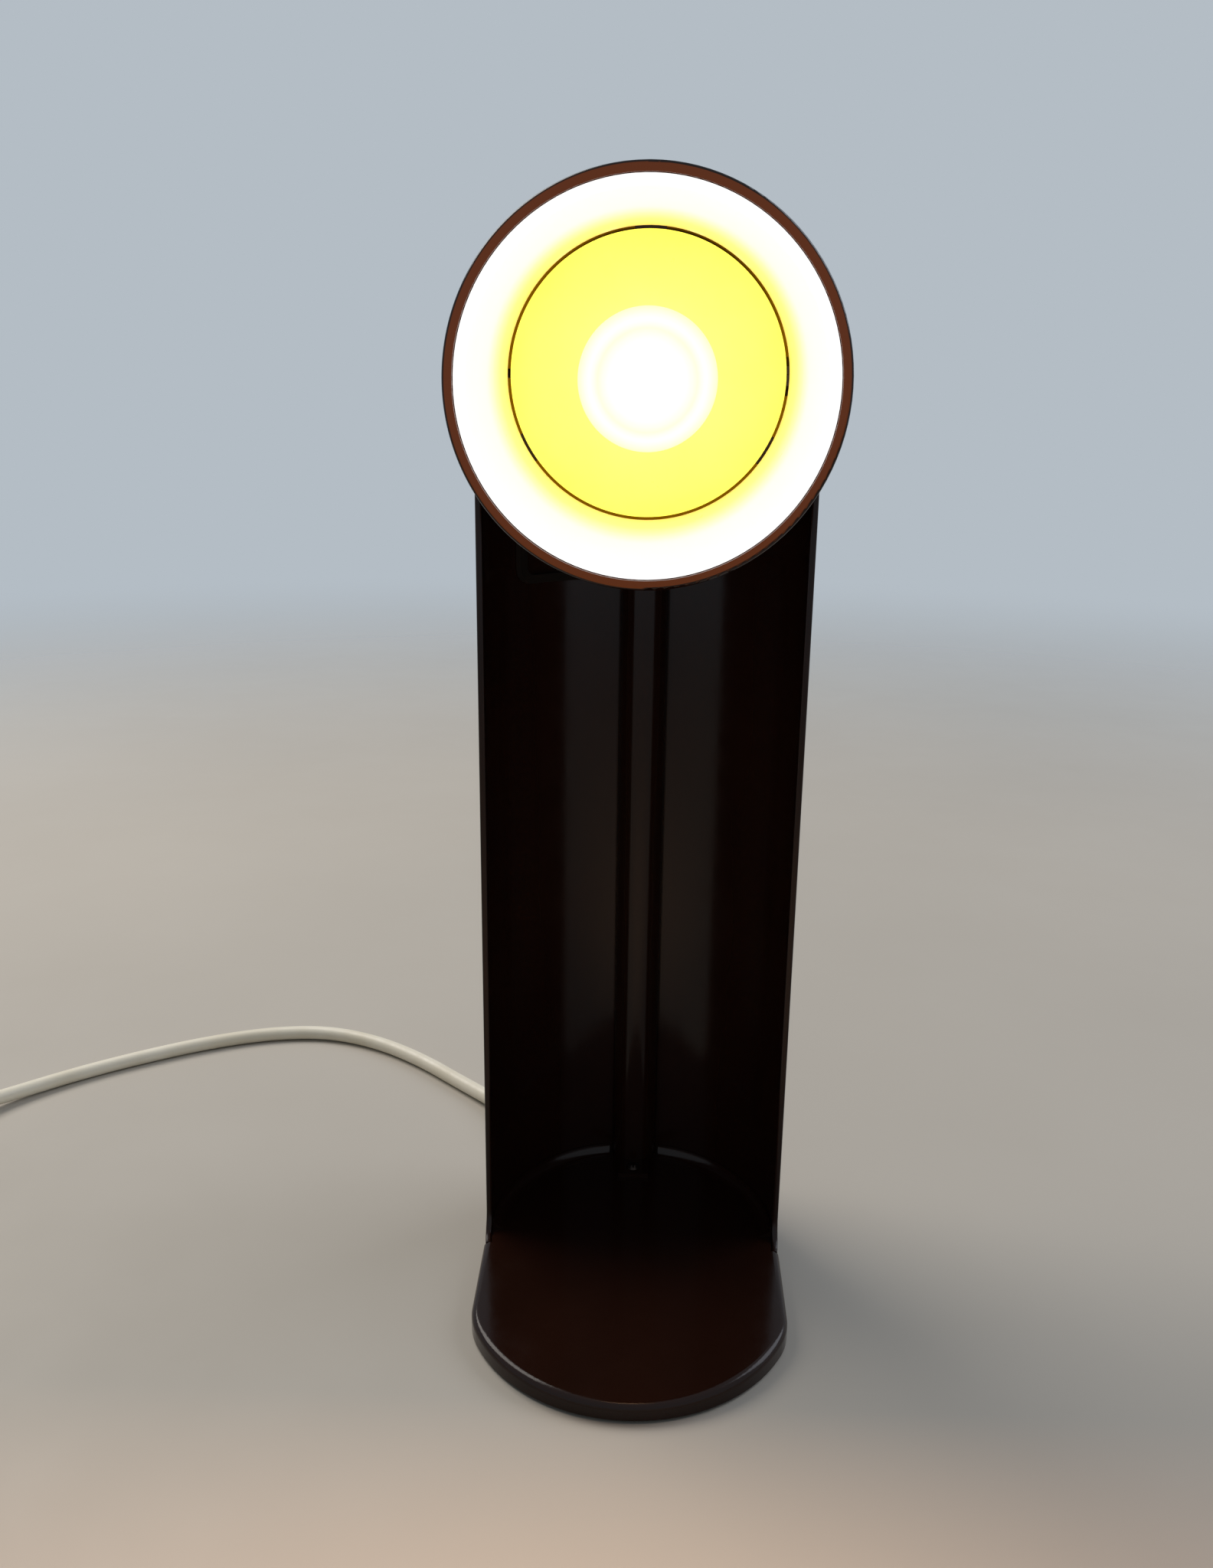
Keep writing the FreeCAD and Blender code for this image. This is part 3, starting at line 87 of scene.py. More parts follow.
def add_node(tree: bpy.types.NodeTree, kind: str, links: dict[Any, Any] | None = None,
             **settings: Any) -> bpy.types.Node:
    """Adds a node with its settings and its links.

    Args:
        tree: The tree that gets the node.
        kind: Blender's identifier of the node.
        links: Input name or number to a socket to link from, or to a plain value.
        settings: Properties of the node itself.

    Returns:
        The new node.
    """
    node = tree.nodes.new(kind)
    for name, value in settings.items():
        setattr(node, name, value)
    for key, value in (links or {}).items():
        if isinstance(value, bpy.types.NodeSocket):
            tree.links.new(value, node.inputs[key])
        else:
            node.inputs[key].default_value = value
    return node


def ramp(tree: bpy.types.NodeTree, factor: bpy.types.NodeSocket,
         stops: list[tuple[float, tuple[float, float, float, float]]]) -> bpy.types.NodeSocket:
    """Maps a factor to colours.

    Args:
        tree: The material's tree.
        factor: The socket that drives the ramp.
        stops: Positions with their linear colours, lowest first.

    Returns:
        The ramp's colour socket.
    """
    node = add_node(tree, "ShaderNodeValToRGB", {"Fac": factor})
    elements = node.color_ramp.elements
    while len(elements) < len(stops):
        elements.new(0.5)
    for element, (place, colour) in zip(elements, stops):
        element.position = place
        element.color = colour
    return node.outputs["Color"]


@dataclass(frozen=True)
class Finish:
    """A surface with two close colours, an uneven gloss and a fine relief.

    Attributes:
        name: The material's name, for what it is and how it was made.
        colour: Main colour.
        second: Colour that it drifts to.
        drift_mm: Size of the colour's drift.
        roughness: Middle roughness.
        uneven: How far roughness moves to each side.
        relief_mm: Grain of the relief.
        relief: Height of the relief in millimetres.
        metallic: One for a metal.
        ior: Index of refraction, left alone on a metal.
        coat: Clear coat's weight.
    """

    name: str
    colour: str
    second: str
    drift_mm: float = 40.0
    roughness: float = 0.4
    uneven: float = 0.06
    relief_mm: float = 1.5
    relief: float = 0.02
    metallic: float = 0.0
    ior: float = 1.5
    coat: float = 0.0

    def tree(self) -> tuple[bpy.types.Material, bpy.types.NodeTree, bpy.types.Node, bpy.types.NodeSocket]:
        """Starts the material.

        Returns:
            The material, its tree, its shader and the object's own coordinates.
        """
        material = bpy.data.materials.new(self.name)
        material.use_nodes = True
        tree = material.node_tree
        shader = tree.nodes["Principled BSDF"]
        shader.inputs["Metallic"].default_value = self.metallic
        if not self.metallic:
            shader.inputs["IOR"].default_value = self.ior
        shader.inputs["Coat Weight"].default_value = self.coat
        place = add_node(tree, "ShaderNodeTexCoord").outputs["Object"]
        return material, tree, shader, place

    def surface(self, tree: bpy.types.NodeTree, shader: bpy.types.Node, place: bpy.types.NodeSocket) -> None:
        """Adds the colour's drift, the uneven gloss and the relief.

        Args:
            tree: The material's tree.
            shader: Its shader.
            place: The coordinates that patterns follow.
        """
        drift = add_node(tree, "ShaderNodeTexNoise", {
            "Vector": place, "Scale": 1 / (self.drift_mm * MM), "Detail": 4.0})
        colour = ramp(tree, drift.outputs["Fac"], [
            (NOISE_LOW, linear(self.colour)), (NOISE_HIGH, linear(self.second))])
        tree.links.new(colour, shader.inputs["Base Color"])
        smear = add_node(tree, "ShaderNodeTexNoise", {
            "Vector": place, "Scale": 4 / (self.drift_mm * MM), "Detail": 6.0, "Roughness": 0.65})
        self.gloss(tree, shader, smear)
        grain = add_node(tree, "ShaderNodeTexNoise", {
            "Vector": place, "Scale": 1 / (self.relief_mm * MM), "Detail": 3.0})
        bump = add_node(tree, "ShaderNodeBump", {
            "Height": grain.outputs["Fac"], "Strength": 1.0, "Distance": self.relief * MM})
        tree.links.new(bump.outputs["Normal"], shader.inputs["Normal"])

    def gloss(self, tree: bpy.types.NodeTree, shader: bpy.types.Node, noise: bpy.types.Node) -> None:
        """Lets a noise move the roughness to both sides of its middle.

        Args:
            tree: The material's tree.
            shader: Its shader.
            noise: The noise.
        """
        rough = add_node(tree, "ShaderNodeMapRange", {
            "Value": noise.outputs["Fac"], "From Min": NOISE_LOW, "From Max": NOISE_HIGH,
            "To Min": self.roughness - self.uneven, "To Max": self.roughness + self.uneven})
        tree.links.new(rough.outputs["Result"], shader.inputs["Roughness"])

    def make(self) -> bpy.types.Material:
        """Gives the material, made once.

        Returns:
            The material.
        """
        found = bpy.data.materials.get(self.name)
        if found is not None:
            return found
        material, tree, shader, place = self.tree()
        self.surface(tree, shader, place)
        return material


@dataclass(frozen=True)
class BrushedFinish(Finish):
    """A metal with fine lines along one axis, as rolling, turning or brushing leaves them.

    Attributes:
        line_mm: Spacing of the lines.
        along: Stretch of the lines along X, Y and Z.
    """

    line_mm: float = 0.4
    along: tuple[float, float, float] = (0.05, 1.0, 1.0)

    def surface(self, tree: bpy.types.NodeTree, shader: bpy.types.Node, place: bpy.types.NodeSocket) -> None:
        """Adds the plain surface and lays the lines over its gloss.

        Args:
            tree: The material's tree.
            shader: Its shader.
            place: The coordinates that patterns follow.
        """
        super().surface(tree, shader, place)
        turned = add_node(tree, "ShaderNodeMapping", {"Vector": place, "Scale": self.along})
        lines = add_node(tree, "ShaderNodeTexNoise", {
            "Vector": turned.outputs["Vector"], "Scale": 1 / (self.line_mm * MM), "Detail": 2.0})
        self.gloss(tree, shader, lines)


@dataclass(frozen=True)
class LampAndPaintedGlowFinish(Finish):
    """A surface of the head with a glow in steps along or round the head's axis: the lamp's own light on the
    bulb's glass, painted light from the bulb on the housing, wall and plate.

    Attributes:
        glow: Shares of the way from start to end with the colour of the glow there, which is painted light
            everywhere but on the bulb's glass.
        strength: Strength of the glow.
        measure: Whether the way runs along the axis or out from it.
        start: Place in metres where the steps start.
        end: Place in metres where they end.
        pivot: The point that the head turns about, in metres.
        tilt: How far the head looks down at rest, in degrees.
        inside: Whether the painted glow is kept to faces that look at the axis or along it, where the bulb's
            light falls.
        turned_from: How far a face may look away from the axis before its glow fades.
        turned_away: How far it looks away where its glow has gone.
    """

    glow: tuple[tuple[float, str], ...] = ((0.0, "#FFFFFF"), (1.0, "#FFD850"))
    strength: float = 1.0
    measure: Measure = Measure.ALONG
    start: float = 0.0
    end: float = 1.0
    pivot: tuple[float, float, float] = (0.0, 0.0, 0.0)
    tilt: float = 0.0
    inside: bool = False
    turned_from: float = 0.3
    turned_away: float = 0.5

    def way(self, tree: bpy.types.NodeTree, place: bpy.types.NodeSocket) -> bpy.types.NodeSocket:
        """Gives how far along or out from the head's axis a point is.

        Args:
            tree: The material's tree.
            place: The coordinates that patterns follow.

        Returns:
            The socket with that distance.
        """
        level = add_node(tree, "ShaderNodeVectorRotate", {
            "Vector": place, "Center": self.pivot, "Angle": -math.radians(self.tilt)}, rotation_type="X_AXIS")
        if self.measure is Measure.ALONG:
            return add_node(tree, "ShaderNodeSeparateXYZ", {"Vector": level.outputs["Vector"]}).outputs["Y"]
        out = self.outward(tree, level.outputs["Vector"])
        return add_node(tree, "ShaderNodeVectorMath", {0: out}, operation="LENGTH").outputs["Value"]

    def outward(self, tree: bpy.types.NodeTree, place: bpy.types.NodeSocket) -> bpy.types.NodeSocket:
        """Gives the way from the head's level axis straight out to a point.

        Args:
            tree: The material's tree.
            place: The point.

        Returns:
            The socket with that vector.
        """
        out = add_node(tree, "ShaderNodeVectorMath", {0: place, 1: self.pivot}, operation="SUBTRACT")
        return add_node(tree, "ShaderNodeVectorMath", {0: out.outputs["Vector"], 1: (1.0, 0.0, 1.0)},
                        operation="MULTIPLY").outputs["Vector"]

    def surface(self, tree: bpy.types.NodeTree, shader: bpy.types.Node, place: bpy.types.NodeSocket) -> None:
        """Adds the plain surface and the glow over it, which is painted light on all but the bulb's glass.

        Args:
            tree: The material's tree.
            shader: Its shader.
            place: The coordinates that patterns follow.
        """
        super().surface(tree, shader, place)
        share = add_node(tree, "ShaderNodeMapRange", {
            "Value": self.way(tree, place), "From Min": self.start, "From Max": self.end})
        colour = ramp(tree, share.outputs["Result"], [(stop, linear(code)) for stop, code in self.glow])
        # The emission is painted light from the bulb on the housing, wall and plate, and the lamp's own light
        # on the bulb's glass.
        tree.links.new(colour, shader.inputs["Emission Color"])
        shader.inputs["Emission Strength"].default_value = self.strength
        # Only faces that the bulb's light falls on get the painted glow.
        if self.inside:
            tree.links.new(self.painted_glow_on_lit_faces(tree, place), shader.inputs["Emission Strength"])

    def painted_glow_on_lit_faces(self, tree: bpy.types.NodeTree, place: bpy.types.NodeSocket) -> bpy.types.NodeSocket:
        """Gives the painted glow's strength on faces that look at the axis or along it, where the bulb's light
        falls, and nothing on the others.

        Args:
            tree: The material's tree.
            place: The coordinates that patterns follow.

        Returns:
            The socket with the strength.
        """
        away = add_node(tree, "ShaderNodeVectorMath", {0: self.outward(tree, place)}, operation="NORMALIZE")
        normal = add_node(tree, "ShaderNodeTexCoord").outputs["Normal"]
        turn = add_node(tree, "ShaderNodeVectorMath", {0: away.outputs["Vector"], 1: normal},
                        operation="DOT_PRODUCT")
        return add_node(tree, "ShaderNodeMapRange", {
            "Value": turn.outputs["Value"], "From Min": self.turned_from, "From Max": self.turned_away,
            "To Min": self.strength, "To Max": 0.0}).outputs["Result"]


# Injection-moulded ABS from a polished tool: near black with a brown cast, sharp reflections, some orange peel.
# Its IOR is under that of ABS, because the studio is paler than the room that the real lamp mirrors.
ABS_LOOK = {"colour": "#1F0F09", "second": "#25120B", "drift_mm": 60.0, "roughness": 0.16, "uneven": 0.05,
            "relief_mm": 3.0, "relief": 0.012, "ior": 1.31}
BROWN_ABS = Finish("brown_abs_polished", **ABS_LOOK)
# Stove enamel on steel: smooth and pale, with a clear shine.
ENAMEL_LOOK = {"drift_mm": 30.0, "roughness": 0.32, "uneven": 0.05, "relief_mm": 2.0, "relief": 0.015,
               "coat": 0.3}
# The plain numbers below are drift_mm, roughness, uneven, relief_mm and relief.
# Zinc-plated steel: plain grey with rolled lines.
ZINC_STEEL = BrushedFinish("zinc_plated_steel", "#B4B5B4", "#9FA0A1", 12.0, 0.34, 0.1, 0.8, 0.01, metallic=1.0)
# Blackened steel: oil-dark, with the lines of its turning.
BLACK_STEEL = BrushedFinish("blackened_steel", "#2A2523", "#362F2B", 4.0, 0.38, 0.1, 0.5, 0.01, metallic=1.0)
# Grey iron as it leaves the sand: dark, dull and grainy.
SAND_IRON = Finish("sand_cast_iron", "#3A3B3C", "#2C2D2E", 6.0, 0.7, 0.12, 0.9, 0.15, metallic=1.0)
# Nitrile rubber, moulded: black and dull with a slight bloom.
BLACK_RUBBER = Finish("moulded_rubber", "#161616", "#202020", 5.0, 0.75, 0.1, 0.5, 0.04, ior=1.52)
# Phenolic fibre: a dull dark washer.
FIBRE = Finish("fibre_washer", "#2B2622", "#37302A", 3.0, 0.65, 0.1, 0.4, 0.03)
# Glazed steatite: pale, with a soft shine.
STEATITE = Finish("glazed_steatite", "#E6E1D3", "#D8D1C0", 9.0, 0.3, 0.08, 1.0, 0.02, ior=1.6, coat=0.3)
# Stamped brass strip: yellow metal with drawn lines.
BRASS = BrushedFinish("stamped_brass", "#C9A45A", "#B58F47", 5.0, 0.28, 0.08, 0.5, 0.01, metallic=1.0)
# Rolled aluminium of a bulb's cap: pale grey, with fine lines.
CAP_ALUMINIUM = BrushedFinish("rolled_aluminium_cap", "#C9C9C7", "#B8B8B6", 5.0, 0.32, 0.08, 0.5, 0.01,
                              metallic=1.0)
# Nickel-plated brass pins: warm bright metal.
NICKEL = BrushedFinish("nickel_plate", "#CFCBC3", "#BDB8AF", 4.0, 0.2, 0.06, 0.5, 0.006, metallic=1.0)
# Braided glass-fibre sleeve, which stands the head's heat: dark and quite dull.
DARK_SLEEVE = Finish("glass_fibre_sleeve", "#120C08", "#1A110B", 3.0, 0.82, 0.06, 0.8, 0.08, ior=1.3)
# PVC insulation of inner wires: brown with a soft sheen.
BROWN_PVC = Finish("brown_pvc_insulation", "#3D2618", "#4A2F1F", 8.0, 0.45, 0.08, 1.0, 0.02)
# Extruded PVC sheath: cream, soft sheen, a little grey where hands have been.
CREAM_PVC = Finish("cream_pvc_sheath", "#EDE6D4", "#E0D7C1", 22.0, 0.42, 0.1, 1.2, 0.03, ior=1.53)
# Moulded urea of switch and plug: harder and glossier than the sheath.
CREAM_UREA = Finish("cream_moulded_urea", "#EAE2CD", "#E2D8C0", 15.0, 0.28, 0.06, 0.7, 0.015, ior=1.55)
# Woven nylon strap of the tie: pale and dull.
NYLON = Finish("woven_nylon_strap", "#E4DFD2", "#D6D0C0", 2.0, 0.55, 0.1, 0.6, 0.06)
# Plain paint of the floor that the lamp stands on: pale and dull.
FLOOR_PAINT = Finish("pale_floor_paint", "#BDB6AB", "#B7B0A5", 300.0, 0.6, 0.05, 4.0, 0.02)


def dress(nodes: dict[str, bpy.types.Object], finish: Finish, names: tuple[str, ...]) -> None:
    """Gives solids of the frame a finish.

    Args:
        nodes: The frame's solids by name.
        finish: The finish.
        names: The solids that get it.
    """
    for name in names:
        mesh = nodes[name].data
        mesh.materials.clear()
        mesh.materials.append(finish.make())
        LOG.info("%s dressed in %s", name, finish.name)


@dataclass
class Head:
    """The bullet head: housing, white wall, back plate, lit bulb and the light that leaves the mouth.

    Sizes are in millimetres. Places along the head's axis are counted from the pivot, forward.

    Attributes:
        pivot: The point that the head turns about.
        tilt: How far the head looks down at rest, in degrees.
        mouth: Place of the mouth's rim.
        shell_painted_glow: Places of the housing's painted glow with its colour there: light from the bulb
            painted on the rim
        and, where light through the ring gap reaches, on the lugs behind the back plate and the dome short of
        the vents.
        wall_front: Place of the white wall's wide end.
        plate_front: Place of the back plate's face.
        plate_wall: Thickness of the back plate.
        bulb_radius: Radius of the bulb.
        light_width: Width of the light in the mouth.
        light_gap: How far it is in front of the rim.
        light_power: Its power in watts.
        light_colour: Its colour.
    """

    pivot: tuple[float, float, float] = (0.0, 17.589, 320.0)
    tilt: float = 2.6
    mouth: float = 88.0
    # Painted light: the bulb's light painted as a glow on the housing's rim, and on the lugs and dome behind
    # the plate that light through the ring gap reaches.
    shell_painted_glow: tuple[tuple[float, str], ...] = (
        (88.0, "#54260A"), (86.8, "#42200A"), (86.0, "#000000"), (25.0, "#000000"), (24.0, "#7A5000"),
        (14.0, "#7A5000"), (12.0, "#000000"), (-7.0, "#000000"), (-9.0, "#7A5000"), (-19.0, "#7A5000"),
        (-21.0, "#000000"))
    wall_front: float = 86.6
    plate_front: float = 26.0
    plate_wall: float = 1.0
    bulb_radius: float = 19.5
    light_width: float = 80.0
    light_gap: float = 2.0
    light_power: float = 2.0
    light_colour: str = "#FFC896"

    def along(self, start: float, end: float) -> dict[str, Any]:
        """Gives a glow's settings for steps along the axis.

        Args:
            start: Where the steps start, in front of the pivot.
            end: Where they end.

        Returns:
            The settings by name.
        """
        middle = self.pivot[1]
        return {"measure": Measure.ALONG, "start": (middle - start) * MM, "end": (middle - end) * MM,
                "pivot": tuple(v * MM for v in self.pivot), "tilt": self.tilt}

    def around(self, start: float, end: float) -> dict[str, Any]:
        """Gives a glow's settings for steps out from the axis.

        Args:
            start: Radius where the steps start.
            end: Radius where they end.

        Returns:
            The settings by name.
        """
        return {"measure": Measure.AROUND, "start": start * MM, "end": end * MM,
                "pivot": tuple(v * MM for v in self.pivot), "tilt": self.tilt}

    def shell(self) -> Finish:
        """Gives the housing's polished ABS with painted light: a warm painted glow on the rim and, seen through
        the ring gap, on the lugs and dome behind the plate.

        Returns:
            The finish.
        """
        start, end = self.shell_painted_glow[0][0], self.shell_painted_glow[-1][0]
        steps = tuple(((start - place) / (start - end), code) for place, code in self.shell_painted_glow)
        # The housing's glow is painted light from the bulb, not a colour of the plastic.
        return LampAndPaintedGlowFinish("brown_abs_painted_rim_glow", **ABS_LOOK, glow=steps, strength=1.0, inside=True,
                          **self.along(start, end))

    def wall(self) -> Finish:
        """Gives the enamelled wall with painted light from the bulb: a white glow by the mouth, yellow by the
        plate, on the faces that the bulb lights.

        Returns:
            The finish.
        """
        # Painted light: the bulb's light painted on the enamelled wall as a glow, white by the mouth and yellow
        # by the plate.
        return LampAndPaintedGlowFinish("stove_enamel_wall_painted_glow", "#F2EEE0", "#EAE5D4", **ENAMEL_LOOK,
                          glow=((0.0, "#FFFFFF"), (0.02, "#FFFFFF"), (0.05, "#E2E0DC"), (0.5, "#DEDAD0"),
                                (0.68, "#D8CC86"), (0.82, "#CEB424"), (1.0, "#BF9708")),
                          strength=1.0, inside=True, **self.along(self.wall_front, self.plate_front))

    def plate(self) -> Finish:
        """Gives the back plate with the bulb's stray light painted on: a full yellow glow on its face, none
        behind.

        Returns:
            The finish.
        """
        # Painted light: the bulb's stray light painted on the back plate's face as a yellow glow.
        return LampAndPaintedGlowFinish("stove_enamel_plate_painted_glow", "#F0E6A2", "#E8DC94", **ENAMEL_LOOK,
                          glow=((0.0, "#FFF008"), (0.4, "#FFF000"), (1.0, "#000000")), strength=0.78,
                          **self.along(self.plate_front, self.plate_front - self.plate_wall))

    def glass(self) -> Finish:
        """Gives the frosted bulb: a white glow, with a faint yellowish ring and a yellowish edge painted into
        it as shade.

        Returns:
            The finish.
        """
        # The yellowish ring and edge in the bulb's glow are painted shade.
        return LampAndPaintedGlowFinish("frosted_bulb_glass", "#A6A49C", "#9E9C92", 10.0, 0.35, 0.05, 0.6, 0.01,
                          glow=((0.0, "#FFFFFF"), (0.55, "#FFFEF4"), (0.7, "#F6F0CE"), (0.82, "#FFFFF4"),
                                (1.0, "#FFF4B4")), strength=0.88, **self.around(0.0, self.bulb_radius))

    def dress(self, nodes: dict[str, bpy.types.Object]) -> None:
        """Gives the head's solids their finishes.

        Args:
            nodes: The frame's solids by name.
        """
        dress(nodes, self.shell(), ("head_housing",))
        dress(nodes, self.wall(), ("reflector_cone",))
        dress(nodes, self.plate(), ("reflector_back_plate",))
        dress(nodes, self.glass(), ("bulb_glass",))
        dress(nodes, ZINC_STEEL, ("pivot_screw", "spring_washer", "pivot_nut", "plate_nuts", "socket_bracket",
                                  "socket_nut"))
        dress(nodes, FIBRE, ("friction_washer",))
        dress(nodes, STEATITE, ("lamp_socket",))
        dress(nodes, BRASS, ("socket_thread", "socket_contact"))
        dress(nodes, CAP_ALUMINIUM, ("bulb_cap",))
        dress(nodes, BROWN_PVC, ("head_lead",))

    def light(self) -> None:
        """Puts the bulb's warm light in the mouth, where it turns with the head."""
        data = bpy.data.lights.new("bulb_light", "AREA")
        data.shape = "DISK"
        data.size = self.light_width * MM
        data.color = linear(self.light_colour)[:3]
        data.energy = self.light_power
        lamp = bpy.data.objects.new("bulb_light", data)
        bpy.context.scene.collection.objects.link(lamp)
        lean = math.radians(self.tilt)
        forward = Vector((0.0, -math.cos(lean), -math.sin(lean)))
        lamp.location = (Vector(self.pivot) + forward * (self.mouth + self.light_gap)) * MM
        lamp.rotation_euler = forward.to_track_quat("-Z", "Y").to_euler()
        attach(lamp, Body.HEAD.value)


@dataclass
class RibRow:
    """Small half-sunk ribs that give a grip, made by one node tree.

    Attributes:
        name: Name of the piece.
        places: Middle of each rib in millimetres, in the host's own axes. Ribs run along the second axis.
        length: Length of a rib.
        radius: Radius of a rib.
        host: Axes of the host in the row frame.
        finish: The ribs' finish.
        body: Body that they ride on.
        slot: The record's slot for their finish; not used.
        sides: Sides of a rib's round.
        sharp: Angle in degrees from which an edge stays sharp.
    """

    name: str
    places: list[tuple[float, float, float]]
    length: float
    radius: float
    host: Matrix
    finish: Finish
    body: Body
    slot: str
    sides: int = 16
    sharp: float = 40.0

    def tree(self) -> bpy.types.NodeTree:
        """Gives the node tree that puts a rib on every point, made once.

        Returns:
            The tree.
        """
        found = bpy.data.node_groups.get("grip_ribs")
        if found is not None:
            return found
        tree = bpy.data.node_groups.new("grip_ribs", "GeometryNodeTree")
        for name, kind in (("Places", "NodeSocketGeometry"), ("Length", "NodeSocketFloat"),
                           ("Radius", "NodeSocketFloat"), ("Finish", "NodeSocketMaterial")):
            tree.interface.new_socket(name, in_out="INPUT", socket_type=kind)
        tree.interface.new_socket("Ribs", in_out="OUTPUT", socket_type="NodeSocketGeometry")
        given = add_node(tree, "NodeGroupInput").outputs
        half = add_node(tree, "ShaderNodeMath", {0: given["Length"], 1: 0.5}, operation="MULTIPLY").outputs[0]
        other = add_node(tree, "ShaderNodeMath", {0: half, 1: -1.0}, operation="MULTIPLY").outputs[0]
        first = add_node(tree, "ShaderNodeCombineXYZ", {"Y": other}).outputs[0]
        last = add_node(tree, "ShaderNodeCombineXYZ", {"Y": half}).outputs[0]
        line = add_node(tree, "GeometryNodeCurvePrimitiveLine", {"Start": first, "End": last}).outputs["Curve"]
        ring = add_node(tree, "GeometryNodeCurvePrimitiveCircle", {
            "Resolution": self.sides, "Radius": given["Radius"]})
        rib = add_node(tree, "GeometryNodeCurveToMesh", {
            "Curve": line, "Profile Curve": ring.outputs["Curve"], "Fill Caps": True}).outputs["Mesh"]
        every = add_node(tree, "GeometryNodeInstanceOnPoints", {"Points": given["Places"], "Instance": rib})
        real = add_node(tree, "GeometryNodeRealizeInstances", {"Geometry": every.outputs["Instances"]})
        dressed = add_node(tree, "GeometryNodeSetMaterial", {
            "Geometry": real.outputs["Geometry"], "Material": given["Finish"]})
        add_node(tree, "NodeGroupOutput", {"Ribs": dressed.outputs["Geometry"]})
        return tree

    def build(self) -> bpy.types.Object:
        """Makes the ribs as a plain mesh in the row frame.

        Returns:
            The piece.
        """
        points = bpy.data.meshes.new(f"{self.name}_places")
        points.from_pydata([Vector(place) * MM for place in self.places], [], [])
        maker = bpy.data.objects.new(f"{self.name}_maker", points)
        bpy.context.scene.collection.objects.link(maker)
        tree = self.tree()
        modifier = maker.modifiers.new("grip_ribs", "NODES")
        modifier.node_group = tree
        keys = {item.name: item.identifier for item in tree.interface.items_tree if item.in_out == "INPUT"}
        modifier[keys["Length"]] = self.length * MM
        modifier[keys["Radius"]] = self.radius * MM
        modifier[keys["Finish"]] = self.finish.make()
        view = bpy.context.evaluated_depsgraph_get()
        mesh = bpy.data.meshes.new_from_object(maker.evaluated_get(view))
        bpy.data.objects.remove(maker)
        mesh.transform(self.host)
        mesh.shade_smooth()
        mesh.set_sharp_from_angle(angle=math.radians(self.sharp))
        piece = bpy.data.objects.new(self.name, mesh)
        bpy.context.scene.collection.objects.link(piece)
        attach(piece, self.body.value)
        LOG.info("%s has %d ribs", self.name, len(self.places))
        return piece


@dataclass
class Stand:
    """Base, half-tube shell, cable duct and what is hidden in them. Sizes are in millimetres.

    Attributes:
        plate_bottom: Height of the base plate's underside.
        bead_rows: X of the beads that stiffen the base plate.
        bead_middle: Y of their middle.
        bead_length: Their length.
        bead_radius: Their radius.
    """

    plate_bottom: float = 1.4
    bead_rows: tuple[float, ...] = (-15.0, -5.0, 5.0, 15.0)
    bead_middle: float = -4.0
    bead_length: float = 62.0
    bead_radius: float = 0.6

    def build(self) -> None:
        """Presses the beads that stiffen the base plate."""
        places = [(x, self.bead_middle, self.plate_bottom) for x in self.bead_rows]
        RibRow("plate_beads", places, self.bead_length, self.bead_radius, Matrix(), ZINC_STEEL, Body.STAND,
               "plated_steel").build()

    def dress(self, nodes: dict[str, bpy.types.Object]) -> None:
        """Gives the stand's solids their finishes.

        Args:
            nodes: The frame's solids by name.
        """
        dress(nodes, BROWN_ABS, ("base_housing", "back_shell", "cable_duct", "pivot_cap"))
        dress(nodes, ZINC_STEEL, ("base_plate", "base_plate_screws", "shell_screws"))
        dress(nodes, BLACK_STEEL, ("duct_screw",))
        dress(nodes, SAND_IRON, ("ballast_weight",))
        dress(nodes, BLACK_RUBBER, ("rubber_feet",))
        dress(nodes, STEATITE, ("terminal_block",))
        dress(nodes, DARK_SLEEVE, ("pivot_lead",))
        dress(nodes, BROWN_PVC, ("duct_lead", "mains_cores"))


